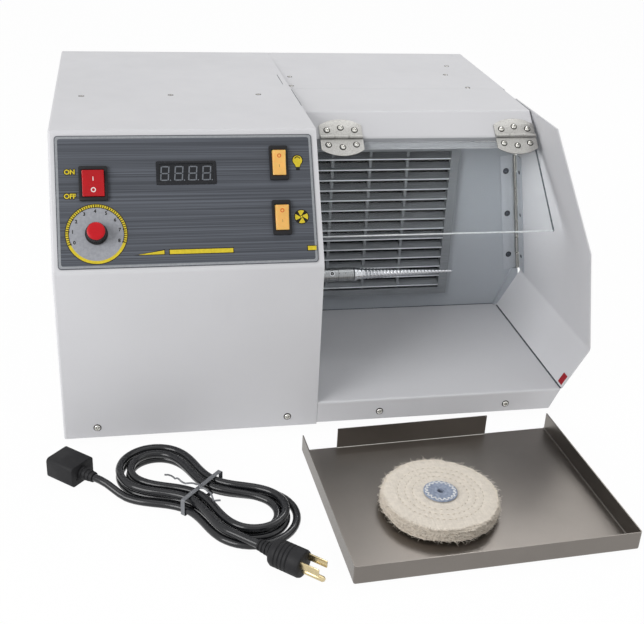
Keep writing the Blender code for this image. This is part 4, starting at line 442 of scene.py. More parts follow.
@dataclass(frozen=True)
class CircuitBoard:
    """Green board with lighter tracks."""

    name: str

    def material(self) -> bpy.types.Material:
        """Make the material."""
        shader = Shader(self.name)
        tracks = shader.node("TexBrick", {"Vector": shader.place(), "Scale": 160.0, "Mortar Size": 0.03})
        share = shader.spread(tracks.outputs["Fac"], 0.0, 1.0, 0.0, 0.6)
        body = shader.blend(share, (0.010, 0.09, 0.03), (0.05, 0.25, 0.09))
        return shader.done({"Base Color": body, "Roughness": 0.4})


class Finishes:
    """Every finish of the set, each made once."""

    def __init__(self) -> None:
        """Make the materials."""
        yellow = screen(214, 192, 52)
        listed = (
            Paint("case_paint", screen(208, 208, 211)),
            # painted shade: the bay's back wall and partition get a darker copy of the case paint
            Paint("bay_wall_shaded_paint", screen(168, 173, 179), 0.5),
            # painted shade for the hood's return flange
            Paint("flange_shade_paint", screen(150, 152, 156), 0.5),
            Paint("pan_paint", screen(150, 152, 155), 0.5, 0.1),
            Metal("zinc_plate", screen(176, 178, 180), 0.42, scale=160, contrast=0.16),
            Metal("hinge_nickel", screen(166, 165, 162), 0.52, scale=1100, depth=0.00012, contrast=0.30, stain=0.1),
            Metal("leaf_zinc", screen(176, 180, 186), 0.55, scale=400, contrast=0.04, metallic=0.1, stain=0.05),
            Metal("screw_steel", screen(196, 195, 190), 0.16, scale=500),
            # painted shadow: dark rings round screw heads
            Metal("screw_hole_shadow", screen(40, 37, 34), 0.55, scale=500),
            Metal("spindle_chrome", screen(200, 202, 206), 0.16, scale=900, contrast=0.05),
            Metal("collar_steel", screen(150, 152, 154), 0.30, (1, 1, 0.1), scale=900, contrast=0.10),
            Metal("tray_steel", screen(126, 121, 116), 0.35, (1, 0.2, 1), 0.047, 1600, 0.000001, 0.16, 0.02),
            Metal("louvre_steel", screen(134, 138, 142), 0.50, (0.06, 1, 1), 0.0, 800, 0.00003, 0.30, 0.16, 0.35),
            # painted highlight on the louvre slats' front edges
            Metal("slat_highlight_steel", screen(226, 230, 234), 0.45, (0.06, 1, 1), 0.0, 800, 0.00001, 0.10),
            Metal("motor_iron", screen(92, 96, 104), 0.5, scale=300),
            Metal("plug_brass", screen(206, 190, 150), 0.28, scale=400),
            Plastic("black_plastic", screen(20, 20, 23), 0.40, 0.08),
            Plastic("matt_black", screen(30, 30, 32), 0.60),
            Plastic("red_rocker", screen(176, 8, 20), 0.30, 0.12, 0.10),
            Plastic("amber_rocker", screen(238, 186, 104), 0.34, 0.15, 0.30),
            Plastic("red_cap", screen(188, 12, 26), 0.36, 0.06),
            Plastic("lamp_plastic", screen(226, 226, 222), 0.42),
            Plastic("foot_rubber", screen(38, 38, 40), 0.78, 0.0, 0.0, 500, 0.00006),
            Plastic("lead_skin", screen(24, 25, 28), 0.26, 0.35, 0.0, 380, 0.00003),
            Plastic("tie_plastic", screen(116, 118, 122), 0.35, 0.3),
            Plastic("red_sticker", screen(158, 34, 44), 0.45),
            BrushedLabel("label_foil", screen(66, 69, 75), screen(97, 101, 109)),
            Ink("yellow_ink", yellow),
            Ink("black_ink", screen(22, 20, 16)),
            Ink("border_ink", screen(148, 151, 155)),
            Ink("dial_silver", screen(158, 160, 166), 0.42),
            Ink("white_ink", screen(236, 226, 222)),
            Ink("orange_ink", screen(216, 78, 20)),
            Ink("pale_ink", screen(196, 150, 84)),
            Ink("unlit_segment", screen(112, 116, 122), 0.35),
            Glossy("display_window", screen(18, 20, 25), 0.25),
            Glossy("lamp_glass", screen(236, 236, 232), 0.18),
            Clear("shield_acrylic"),
            # painted highlight on the shield's lower edge
            Ink("edge_highlight_ink", screen(226, 230, 232), 0.3),
            # painted shade: dark strips in gaps, in corners and on the shield's side edge
            Ink("painted_shade_ink", screen(84, 90, 96), 0.3),
            Cloth("buff_cotton", screen(222, 213, 200)),
            Cloth("stitch_thread", screen(180, 168, 148), 2600, 0.00005, 0.1),
            Cloth("white_thread", screen(232, 232, 230), 2600, 0.00005, 0.05),
            Fibre("centre_fibre", screen(128, 138, 158), screen(160, 170, 188)),
            Fibre("filter_wool", screen(34, 36, 36), screen(58, 60, 60), 260, 0.0008),
            CircuitBoard("board_green"),
        )
        self.materials = {finish.name: finish.material() for finish in listed}

    def __getitem__(self, name: str) -> bpy.types.Material:
        """Return one material by its name."""
        return self.materials[name]


def frame_matrix(origin: Vector, x_axis: Vector, y_axis: Vector, z_axis: Vector) -> Matrix:
    """Return the matrix that puts local X, Y and Z on three directions from an origin."""
    matrix = Matrix((x_axis, y_axis, z_axis)).transposed().to_4x4()
    matrix.translation = origin
    return matrix


@dataclass
class Machine:
    """The machine's frame and the control panel's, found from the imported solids.

    Args:
        finishes: The materials by name.
    """

    frame: dict
    finishes: Finishes
    panel_back: float = 0.0705
    bend_z: float = 0.1768
    partition_right: float = 0.2412
    case_top: float = 0.2840
    made: int = 0

    def __post_init__(self) -> None:
        """Find the cabinet's corner and work out the panel's directions."""
        corner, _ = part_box("cabinet_shell")
        self.origin = Matrix.Translation((corner.x, corner.y, 0))
        rise = self.case_top - self.bend_z
        length = math.hypot(self.panel_back, rise)
        self.up = Vector((0, self.panel_back / length, rise / length))
        self.out = Vector((0, -self.up.z, self.up.y))
        self.panel = self.origin @ frame_matrix(Vector((0, 0, self.bend_z)), Vector((1, 0, 0)), self.up, self.out)

    def dress(self, finish: str, *nodes: str) -> None:
        """Give carried-over solids a finish.

        Args:
            finish: The material's name.
            *nodes: The solids' names.
        """
        for node in nodes:
            for slot in self.frame["nodes"][node].material_slots:
                slot.material = self.finishes[finish]
            LOG.info("dressed %s in %s", node, finish)

    def add(
        self,
        name: str,
        mesh: "bmesh.types.BMesh | bpy.types.Mesh",
        finish: str,
        body: Body = Body.MACHINE,
        matrix: Matrix | None = None,
        stands_for: Iterable[str] = (),
        smooth: float = 38.0,
    ) -> bpy.types.Object:
        """Put a new piece in place and let it ride on its body.

        Args:
            name: The piece's name.
            mesh: Its mesh in local coordinates.
            finish: The material's name.
            body: The body that carries it.
            matrix: From local to shared coordinates, the machine's own frame when left out.
            stands_for: The solids that it replaces.
            smooth: The sharpest angle, in degrees, that is shaded smooth.

        Returns:
            The new object.
        """
        if isinstance(mesh, bmesh.types.BMesh):
            data = bpy.data.meshes.new(name)
            mesh.to_mesh(data)
            mesh.free()
        else:
            data = mesh
            data.name = name
        data.transform(self.origin if matrix is None else matrix)
        data.materials.clear()
        data.materials.append(self.finishes[finish])
        data.shade_smooth()
        data.set_sharp_from_angle(angle=math.radians(smooth))
        piece = bpy.data.objects.new(name, data)
        bpy.context.scene.collection.objects.link(piece)
        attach(piece, body.value)
        nodes = tuple(stands_for)
        if nodes:
            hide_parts(*nodes)
        self.made += 1
        LOG.info("built %s on %s, %d faces", name, body.value, len(data.polygons))
        return piece


def turned(profile: Sequence[tuple[float, float]], steps: int = 48, closed: bool = False) -> bmesh.types.BMesh:
    """Turn a profile of radius and height about Z.

    Args:
        profile: Points from one end to the other, on the axis at both ends unless closed.
        steps: Faces round the turn.
        closed: Whether the last point joins the first, as on a ring.

    Returns:
        The closed mesh.
    """
    bm = bmesh.new()
    rows = []
    for radius, height in profile:
        if radius < 1e-7:
            rows.append([bm.verts.new((0, 0, height))])
            continue
        turns = [2 * math.pi * step / steps for step in range(steps)]
        rows.append([bm.verts.new((radius * math.cos(t), radius * math.sin(t), height)) for t in turns])
    pairs = list(zip(rows, rows[1:]))
    if closed:
        pairs.append((rows[-1], rows[0]))
    for one, two in pairs:
        for step in range(steps):
            after = (step + 1) % steps
            ring = [one[step % len(one)], one[after % len(one)], two[after % len(two)], two[step % len(two)]]
            face = list(dict.fromkeys(ring))
            if len(face) > 2:
                bm.faces.new(face)
    bmesh.ops.recalc_face_normals(bm, faces=bm.faces)
    return bm


def bevelled(bm: bmesh.types.BMesh, width: float, steps: int = 2, limit: float = 40.0) -> bmesh.types.BMesh:
    """Round the hard edges of a mesh and return it."""
    sharp = [edge for edge in bm.edges if edge.calc_face_angle(0) > math.radians(limit)]
    bmesh.ops.bevel(bm, geom=sharp, offset=width, segments=steps, affect="EDGES", profile=0.5, clamp_overlap=True)
    return bm


def block(low: Sequence[float], high: Sequence[float], rounding: float = 0.0) -> bmesh.types.BMesh:
    """Return a block between two corners, its edges rounded."""
    bm = bmesh.new()
    bmesh.ops.create_cube(bm, size=1)
    bmesh.ops.scale(bm, vec=Vector(high) - Vector(low), verts=bm.verts)
    bmesh.ops.translate(bm, vec=(Vector(high) + Vector(low)) / 2, verts=bm.verts)
    return bevelled(bm, rounding) if rounding else bm


def plate(outline: Outline, low: float, high: float, holes: Sequence[Outline] = (), rounding: float = 0.0) -> bmesh.types.BMesh:
    """Return a flat plate between two heights.

    Args:
        outline: Its edge in local X and Y.
        low: The height of its lower face.
        high: The height of its upper face.
        holes: Outlines cut through it.
        rounding: The width of its rounded edges.

    Returns:
        The closed mesh.
    """
    curve = bpy.data.curves.new("outline", "CURVE")
    curve.dimensions = "2D"
    curve.fill_mode = "BOTH"
    curve.extrude = (high - low) / 2
    for loop in (outline, *holes):
        spline = curve.splines.new("POLY")
        spline.points.add(len(loop) - 1)
        for point, (x, y) in zip(spline.points, loop):
            point.co = (x, y, 0, 1)
        spline.use_cyclic_u = True
    bm = read_curve(curve, 0.000001)
    bmesh.ops.translate(bm, vec=(0, 0, (high + low) / 2), verts=bm.verts)
    return bevelled(bm, rounding) if rounding else bm


def read_curve(curve: bpy.types.Curve, merge: float) -> bmesh.types.BMesh:
    """Turn a curve or lettering into a welded mesh and remove the curve."""
    guide = bpy.data.objects.new("guide", curve)
    bpy.context.scene.collection.objects.link(guide)
    graph = bpy.context.evaluated_depsgraph_get()
    mesh = bpy.data.meshes.new_from_object(guide.evaluated_get(graph))
    bpy.data.objects.remove(guide, do_unlink=True)
    bm = bmesh.new()
    bm.from_mesh(mesh)
    bpy.data.meshes.remove(mesh)
    bmesh.ops.remove_doubles(bm, verts=bm.verts, dist=merge)
    bmesh.ops.recalc_face_normals(bm, faces=bm.faces)
    return bm


def lettering(text: str, height: float, low: float, high: float, weight: float = 0.0) -> bmesh.types.BMesh:
    """Return plain letters centred on the origin.

    Args:
        text: The letters or figures.
        height: How tall a capital stands.
        low: The height of their lower face.
        high: The height of their upper face.
        weight: How far the strokes are thickened.

    Returns:
        The mesh of the letters.
    """
    curve = bpy.data.curves.new("letters", "FONT")
    curve.body = text
    curve.size = height / 0.72
    curve.align_x = "CENTER"
    curve.align_y = "CENTER"
    curve.extrude = (high - low) / 2
    curve.offset = weight
    curve.resolution_u = 6
    bm = read_curve(curve, 0.000001)
    bmesh.ops.translate(bm, vec=(0, 0, (high + low) / 2), verts=bm.verts)
    return bm


def merged(*parts: tuple[bmesh.types.BMesh, Matrix | None]) -> bmesh.types.BMesh:
    """Put several meshes in one, each moved by its matrix."""
    whole = bmesh.new()
    for bm, matrix in parts:
        if matrix is not None:
            bmesh.ops.transform(bm, matrix=matrix, verts=bm.verts)
        carrier = bpy.data.meshes.new("part")
        bm.to_mesh(carrier)
        bm.free()
        whole.from_mesh(carrier)
        bpy.data.meshes.remove(carrier)
    return whole


def stamped(make: Callable[[], bmesh.types.BMesh], places: Iterable[Matrix]) -> bmesh.types.BMesh:
    """Return copies of one mesh at several places, as one mesh."""
    return merged(*((make(), place) for place in places))


def rectangle(centre: tuple[float, float], size: tuple[float, float], corner: float = 0.0, steps: int = 6) -> Outline:
    """Return the outline of a rectangle with round corners."""
    half_x, half_y = size[0] / 2, size[1] / 2
    if not corner:
        return [(centre[0] + x * half_x, centre[1] + y * half_y) for x, y in ((-1, -1), (1, -1), (1, 1), (-1, 1))]
    points = []
    for quarter, (sign_x, sign_y) in enumerate(((1, 1), (-1, 1), (-1, -1), (1, -1))):
        for step in range(steps + 1):
            angle = (quarter + step / steps) * math.pi / 2
            x = sign_x * (half_x - corner) + corner * math.cos(angle)
            y = sign_y * (half_y - corner) + corner * math.sin(angle)
            points.append((centre[0] + x, centre[1] + y))
    return points


def arc(centre: tuple[float, float], radius: float, first: float, last: float, steps: int) -> Outline:
    """Return points along an arc between two angles in degrees."""
    turns = [math.radians(first + (last - first) * step / steps) for step in range(steps + 1)]
    return [(centre[0] + radius * math.cos(turn), centre[1] + radius * math.sin(turn)) for turn in turns]


def circle(centre: tuple[float, float], radius: float, steps: int = 64) -> Outline:
    """Return the outline of a circle."""
    return arc(centre, radius, 0, 360, steps)[:-1]


def band(centre: tuple[float, float], inner: float, outer: float, first: float, last: float, steps: int = 48) -> Outline:
    """Return the outline of a part of a ring."""
    return arc(centre, outer, first, last, steps) + arc(centre, inner, last, first, steps)


def tube(points: Sequence[Vector], radius: float | Callable[[float], float], sides: int = 8) -> bmesh.types.BMesh:
    """Return a closed tube along points.

    Args:
        points: The tube's centre line.
        radius: One radius, or a function from the share of the way along to a radius.
        sides: Faces round it.

    Returns:
        The closed mesh.
    """
    bm = bmesh.new()
    rows = []
    side_way = None
    for index, point in enumerate(points):
        before = points[max(index - 1, 0)]
        after = points[min(index + 1, len(points) - 1)]
        along = (after - before).normalized()
        if side_way is None:
            side_way = along.orthogonal().normalized()
        side_way = (side_way - along * side_way.dot(along)).normalized()
        across = along.cross(side_way)
        share = index / (len(points) - 1)
        size = radius(share) if callable(radius) else radius
        turns = [2 * math.pi * side / sides for side in range(sides)]
        rows.append([bm.verts.new(point + (side_way * math.cos(t) + across * math.sin(t)) * size) for t in turns])
    for one, two in zip(rows, rows[1:]):
        for side in range(sides):
            after_side = (side + 1) % sides
            bm.faces.new((one[side], one[after_side], two[after_side], two[side]))
    bm.faces.new(rows[0][::-1])
    bm.faces.new(rows[-1])
    bmesh.ops.recalc_face_normals(bm, faces=bm.faces)
    return bm


@dataclass(frozen=True)
class ScrewHead:
    """A domed screw head with a cross in it, standing on local Z 0."""

    radius: float = 0.0027
    height: float = 0.0014
    slot_length_share: float = 1.15
    slot_width_share: float = 0.42
    slot_depth_share: float = 0.85
    dome_steps: int = 5
    # size of the painted shadow ring round the head
    washer_reach: float = 0.0008
    washer_height: float = 0.00012

    def washer(self) -> bmesh.types.BMesh:
        """Return the dark ring round the head: painted shadow of its hole."""
        reach, height = self.radius + self.washer_reach, self.washer_height
        profile = [(self.radius * 0.6, height), (reach - height, height), (reach, 0), (reach, -height)]
        return turned([*profile, (self.radius * 0.6, -height)], 28, closed=True)

    def mesh(self) -> bmesh.types.BMesh:
        """Turn the dome and sink the cross into it."""
        profile = [(0, self.height)]
        for step in range(1, self.dome_steps + 1):
            angle = math.pi / 2 * step / self.dome_steps
            profile.append((self.radius * math.sin(angle), self.height * (0.25 + 0.75 * math.cos(angle))))
        profile += [(self.radius, -self.height / 4), (0, -self.height / 4)]
        dome = bpy.data.meshes.new("dome")
        turned(profile, 28).to_mesh(dome)
        head = bpy.data.objects.new("head", dome)
        bpy.context.scene.collection.objects.link(head)
        tools = []
        length = self.radius * self.slot_length_share
        width = self.radius * self.slot_width_share
        floor = self.height * (1 - self.slot_depth_share)
        for half_x, half_y in ((length / 2, width / 2), (width / 2, length / 2)):
            cutter = bpy.data.meshes.new("cross")
            block((-half_x, -half_y, floor), (half_x, half_y, self.height * 2)).to_mesh(cutter)
            tool = bpy.data.objects.new("cross", cutter)
            bpy.context.scene.collection.objects.link(tool)
            step = head.modifiers.new("cross", "BOOLEAN")
            step.operation = "DIFFERENCE"
            step.object = tool
            tools.append(tool)
        graph = bpy.context.evaluated_depsgraph_get()
        cut = bpy.data.meshes.new_from_object(head.evaluated_get(graph))
        bm = bmesh.new()
        bm.from_mesh(cut)
        for spare in (head, *tools):
            bpy.data.objects.remove(spare, do_unlink=True)
        return bm


@dataclass
class Studio:
    """Camera, lamps, floor and background."""

    place: tuple[float, float, float] = (-0.19505, -0.918159, 0.5472)
    right: tuple[float, float, float] = (0.9817, -0.1848, 0.0470)
    down: tuple[float, float, float] = (-0.0400, -0.4406, -0.8969)
    lens: float = 57.20
    sensor: float = 36.0
    floor_size: float = 12.0
    floor_lift_share: float = 0.97
    ambient: float = 0.40

    def camera(self) -> None:
        """Stand the camera where the photograph was taken from."""
        data = bpy.data.cameras.new("photo_view")
        data.lens = self.lens
        data.sensor_width = self.sensor
        data.clip_end = 50
        camera = bpy.data.objects.new("photo_view", data)
        bpy.context.scene.collection.objects.link(camera)
        right = Vector(self.right).normalized()
        back = right.cross(-Vector(self.down)).normalized()
        camera.matrix_world = frame_matrix(Vector(self.place), right, back.cross(right), back)
        bpy.context.scene.camera = camera

    def lamp(self, name: str, place: Sequence[float], target: Sequence[float], size: float, power: float) -> None:
        """Hang one soft square lamp that faces a point."""
        data = bpy.data.lights.new(name, "AREA")
        data.size = size
        data.energy = power
        lamp = bpy.data.objects.new(name, data)
        bpy.context.scene.collection.objects.link(lamp)
        lamp.location = place
        lamp.rotation_euler = (Vector(target) - Vector(place)).to_track_quat("-Z", "Y").to_euler()

    def seen_ray(self, nodes: bpy.types.Nodes, links: bpy.types.NodeLinks) -> Socket:
        """Return 1 for rays from the camera, off gloss and through glass."""
        path = nodes.new("ShaderNodeLightPath")
        total = path.outputs["Is Camera Ray"]
        for kind in ("Is Glossy Ray", "Is Transmission Ray"):
            join = nodes.new("ShaderNodeMath")
            join.operation = "MAXIMUM"
            links.new(total, join.inputs[0])
            links.new(path.outputs[kind], join.inputs[1])
            total = join.outputs[0]
        return total

    def background(self) -> None:
        """Fill the world with white that lights the set at a lower level."""
        world = bpy.data.worlds.new("studio")
        world.use_nodes = True
        bpy.context.scene.world = world
        nodes, links = world.node_tree.nodes, world.node_tree.links
        level = nodes.new("ShaderNodeMapRange")
        links.new(self.seen_ray(nodes, links), level.inputs["Value"])
        level.inputs["To Min"].default_value = self.ambient
        level.inputs["To Max"].default_value = 1.0
        links.new(level.outputs["Result"], nodes["Background"].inputs["Strength"])
        nodes["Background"].inputs["Color"].default_value = (1, 1, 1, 1)

    def floor(self) -> None:
        """Lay a pale floor that keeps a soft shadow."""
        bm = bmesh.new()
        bmesh.ops.create_grid(bm, x_segments=24, y_segments=24, size=self.floor_size / 2)
        data = bpy.data.meshes.new("floor")
        bm.to_mesh(data)
        bm.free()
        floor = bpy.data.objects.new("floor", data)
        bpy.context.scene.collection.objects.link(floor)
        material = bpy.data.materials.new("floor")
        material.use_nodes = True
        nodes, links = material.node_tree.nodes, material.node_tree.links
        plain = nodes["Principled BSDF"]
        plain.inputs["Base Color"].default_value = (0.96, 0.96, 0.96, 1)
        plain.inputs["Roughness"].default_value = 0.9
        white = nodes.new("ShaderNodeEmission")
        white.inputs["Color"].default_value = (1, 1, 1, 1)
        share = nodes.new("ShaderNodeMath")
        share.operation = "MULTIPLY"
        share.inputs[1].default_value = self.floor_lift_share
        links.new(self.seen_ray(nodes, links), share.inputs[0])
        mix = nodes.new("ShaderNodeMixShader")
        links.new(share.outputs[0], mix.inputs[0])
        links.new(plain.outputs[0], mix.inputs[1])
        links.new(white.outputs[0], mix.inputs[2])
        links.new(mix.outputs[0], nodes["Material Output"].inputs["Surface"])
        data.materials.append(material)

    def build(self) -> None:
        """Set up the whole studio."""
        bpy.context.scene.view_settings.view_transform = "Standard"
        self.camera()
        self.background()
        self.floor()
        self.lamp("key", (-1.7, -1.2, 1.0), (0, 0, 0.1), 1.2, 30)
        self.lamp("top", (0.2, 0.1, 1.9), (0, 0, 0.1), 1.6, 7)
        self.lamp("back", (0.75, 1.1, 1.75), (0.1, -0.2, 0), 0.5, 7)
        self.lamp("side", (1.6, -0.7, 0.9), (0, 0, 0.1), 1.1, 3)
        LOG.info("studio is set")


@dataclass
class MainsLead:
    """The hank of cord with its plug, connector and tie."""

    machine: Machine
    centre: tuple[float, float] = (0.1220, -0.0970)
    turn: float = math.radians(-42)
    radius: float = 0.0035
    run: float = 0.1050
    outer: float = 0.04125
    spacing: float = 0.0090
    high_spacing: float = 0.0100
    low_turns: float = 2.25
    climb_turns: float = 0.5
    high_turns: float = 1.5
    low_z: float = 0.0043
    layer: float = 0.0078
    waist: float = 0.0150
    points_per_turn: int = 24
    tail_rise: float = 0.0290
    tail_out: float = 0.0300
    tail_points: int = 4
    tail_z: float = 0.0105
    gap: float = 0.0003
    relief_length: float = 0.0140
    relief_small: float = 0.0046
    relief_large: float = 0.0065
    plug_radius: float = 0.0117
    plug_length: float = 0.0300
    blade: tuple[float, float, float] = (0.0170, 0.0063, 0.0015)
    blade_spread: float = 0.0063
    blade_raise: float = 0.0040
    earth_drop: float = 0.0060
    earth_radius: float = 0.0024
    earth_length: float = 0.0190
    shell: tuple[float, float, float] = (0.0270, 0.0200, 0.0300)
    slot_spread: float = 0.0070
    slot_raise: float = 0.0020
    slot: tuple[float, float, float] = (0.0025, 0.0045, 0.0150)
    tie_width: float = 0.0040
    tie_thickness: float = 0.0005
    tie_play: float = 0.0004

    def hank_point(self, turns: float) -> Vector:
        """Return the cord's centre after a number of turns, in the hank's own frame.

        Args:
            turns: Turns from the outer end.

        Returns:
            The point.
        """
        inner = self.outer - self.spacing * self.low_turns
        climbed = turns - self.low_turns
        if climbed <= 0:
            radius, height = self.outer - self.spacing * turns, self.low_z
        elif climbed <= self.climb_turns:
            ease = (1 - math.cos(math.pi * climbed / self.climb_turns)) / 2
            radius, height = inner, self.low_z + self.layer * ease
        else:
            radius = inner + self.high_spacing * (climbed - self.climb_turns)
            height = self.low_z + self.layer
        quarter = turns % 1 * 4
        half = self.run / 2
        if quarter < 1:
            x, y = -half + self.run * quarter, -radius
        elif quarter < 2:
            angle = math.pi * (quarter - 1) - math.pi / 2
            x, y = half + radius * math.cos(angle), radius * math.sin(angle)
        elif quarter < 3:
            x, y = half - self.run * (quarter - 2), radius
        else:
            angle = math.pi * (quarter - 3) + math.pi / 2
            x, y = -half + radius * math.cos(angle), radius * math.sin(angle)
        if abs(x) < half:
            pull = self.waist * (1 + math.cos(2 * math.pi * x / self.run)) / 2
            y -= math.copysign(pull, y)
        return Vector((x, y, height))

    def route(self, finer: int = 4) -> list[Vector]:
        """Return the cord's points from the connector to the plug, in the hank's own frame."""
        total = self.low_turns + self.climb_turns + self.high_turns
        first, last = self.hank_point(0), self.hank_point(total)
        start_x = first.x - self.tail_rise
        points = [Vector((start_x - 2 * self.radius, first.y, self.tail_z))]
        for step in range(self.tail_points):
            ease = (1 - math.cos(math.pi * step / self.tail_points)) / 2
            x = start_x + self.tail_rise * step / self.tail_points
            points.append(Vector((x, first.y, self.tail_z + (self.low_z - self.tail_z) * ease)))
        steps = round(total * self.points_per_turn * finer)
        points += [self.hank_point(total * step / steps) for step in range(steps + 1)]
        out = self.tail_out / self.tail_points
        points += [last + Vector((out * step, 0, 0)) for step in range(1, self.tail_points + 1)]
        return points

    def relief(self, length: float, joined: float) -> list[tuple[float, float]]:
        """Return the ribbed, tapered profile of a strain relief that ends at a larger body."""
        points = [(0, 0), (self.relief_small - 0.0003, 0)]
        ribs = 4
        for rib in range(ribs):
            for share, sink in ((0.08, 0.0), (0.55, 0.0), (0.62, 0.0008), (0.98, 0.0008)):
                along = (rib + share) / ribs
                wide = self.relief_small + (self.relief_large - self.relief_small) * along
                points.append((wide - sink, length * along))
        points.append((joined, length))
        return points

    def plug(self, place: Matrix) -> list[bpy.types.Object]:
        """Build the plug's moulded body and its metal pins."""
        face = self.relief_length + self.plug_length
        radius = self.plug_radius
        profile = self.relief(self.relief_length, radius - 0.0030)
        profile += [(radius - 0.0012, self.relief_length + 0.0012), (radius, self.relief_length + 0.0035)]
        for groove in range(4):
            at = self.relief_length + 0.0075 + groove * 0.0036
            profile += [(radius, at - 0.0008), (radius - 0.0007, at), (radius, at + 0.0008)]
        profile += [(radius, face - 0.0020), (radius - 0.0006, face - 0.0006), (radius - 0.0020, face), (0, face)]
        body = self.machine.add("plug_body", turned(profile, 56), "matt_black", matrix=place, stands_for=["mains_plug"])
        length, width, thick = self.blade
        parts = []
        for side in (-1, 1):
            low = (side * self.blade_spread - thick / 2, self.blade_raise - width / 2, face - 0.001)
            high = (side * self.blade_spread + thick / 2, self.blade_raise + width / 2, face + length)
            parts.append((block(low, high, 0.0004), None))
        pin = [(0, face + self.earth_length), (self.earth_radius * 0.6, face + self.earth_length)]
        pin += [(self.earth_radius, face + self.earth_length - 0.0015), (self.earth_radius, face - 0.001), (0, face - 0.001)]
        parts.append((turned(pin, 28), Matrix.Translation((0, -self.earth_drop, 0))))
        pins = self.machine.add("plug_pins", merged(*parts), "plug_brass", matrix=place)
        return [body, pins]

    def connector(self, place: Matrix) -> list[bpy.types.Object]:
        """Build the connector's moulded shell with three dark slots."""
        width, height, length = self.shell
        low, high = self.relief_length, self.relief_length + length
        wall = plate(
            rectangle((0, 0), (width, height), 0.0035),
            low,
            high,
            [
                rectangle((side * self.slot_spread, -abs(side) * self.slot_raise + (1 - abs(side)) * self.slot_raise), self.slot[:2])
                for side in (-1, 0, 1)
            ],
            0.0009,
        )
        floor = plate(rectangle((0, 0), (width - 0.002, height - 0.002), 0.0030), low + 0.0005, high - self.slot[2])
        relief = turned([*self.relief(self.relief_length + 0.001, self.relief_large), (0, self.relief_length + 0.001)], 36)
        grips = []
        for rib in range(5):
            at = low + 0.0060 + rib * 0.0030
            grips.append((block((-width / 2 - 0.0, -height / 2 + 0.003, at), (width / 2 + 0.0, height / 2 - 0.003, at + 0.0012)), None))
        body = merged((wall, None), (floor, None), (relief, None))
        for bm, _ in grips:
            bm.free()
        made = self.machine.add("connector_body", body, "matt_black", matrix=place, stands_for=["mains_connector"])
        return [made]

    def tie(self, hank: Matrix) -> bpy.types.Object:
        """Build the band round the waist with its twisted ends."""
        total = self.low_turns + self.climb_turns + self.high_turns
        waist = [self.hank_point(step / 2 + 1 / 8) for step in range(math.ceil(2 * total))]
        low_y = min(p.y for p in waist) - self.radius - self.tie_play
        high_y = max(p.y for p in waist) + self.radius + self.tie_play
        low_z = self.low_z - self.radius - self.gap
        high_z = self.low_z + self.layer + self.radius + self.tie_play
        centre = ((low_y + high_y) / 2, (low_z + high_z) / 2)
        inner = (high_y - low_y, high_z - low_z)
        outer = (inner[0] + 2 * self.tie_thickness, inner[1] + 2 * self.tie_thickness)
        seat = frame_matrix(Vector((-self.tie_width / 2, 0, 0)), Vector((0, 1, 0)), Vector((0, 0, 1)), Vector((1, 0, 0)))
        ring = plate(rectangle(centre, outer, 0.0018), 0, self.tie_width, [rectangle(centre, inner, 0.0013)])
        knot = Vector((0, centre[0] - 0.004, high_z + 0.0016))
        parts = [(ring, seat)]
        for side in (-1, 1):
            path = []
            for step in range(25):
                share = step / 24
                spin = side * math.pi / 2 + share * math.pi * 3.0
                coil = 0.0011 * (1 - 0.3 * share) + 0.006 * max(0, share - 0.55) * (1 if side > 0 else 1.6)
                along = Vector((0.030 * share * side, -0.010 * share, 0.0008 * math.sin(share * 3)))
                path.append(knot + along * (0.55 + 0.45 * share) + Vector((0, math.cos(spin), abs(math.sin(spin)))) * coil)
            parts.append((tube(path, 0.0008, 8), None))
        return self.machine.add("tie_band", merged(*parts), "tie_plastic", matrix=hank, stands_for=["lead_tie"])

    def build(self) -> None:
        hank = self.machine.origin @ Matrix.Translation((*self.centre, 0)) @ Matrix.Rotation(self.turn, 4, "Z")
        points = [hank @ point for point in self.route()]
        curve = bpy.data.curves.new("mains_cord", "CURVE")
        curve.dimensions = "3D"
        curve.bevel_depth = self.radius
        curve.bevel_resolution = 5
        curve.use_fill_caps = True
        spline = curve.splines.new("POLY")
        spline.points.add(len(points) - 1)
        for point, co in zip(spline.points, points):
            point.co = (*co, 1)
        spline.use_smooth = True
        curve.materials.append(self.machine.finishes["lead_skin"])
        cord = bpy.data.objects.new("mains_cord", curve)
        bpy.context.scene.collection.objects.link(cord)
        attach(cord, Body.MACHINE.value)
        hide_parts("mains_lead_hank")
        ends = self.route()
        along, across, up = Vector((1, 0, 0)), Vector((0, 1, 0)), Vector((0, 0, 1))
        plug_place = hank @ frame_matrix(ends[-1] + along * self.gap, across, up, along)
        inlet_place = hank @ frame_matrix(ends[0] - along * self.gap, -across, up, -along)
        pieces = [*self.plug(plug_place), *self.connector(inlet_place), self.tie(hank)]


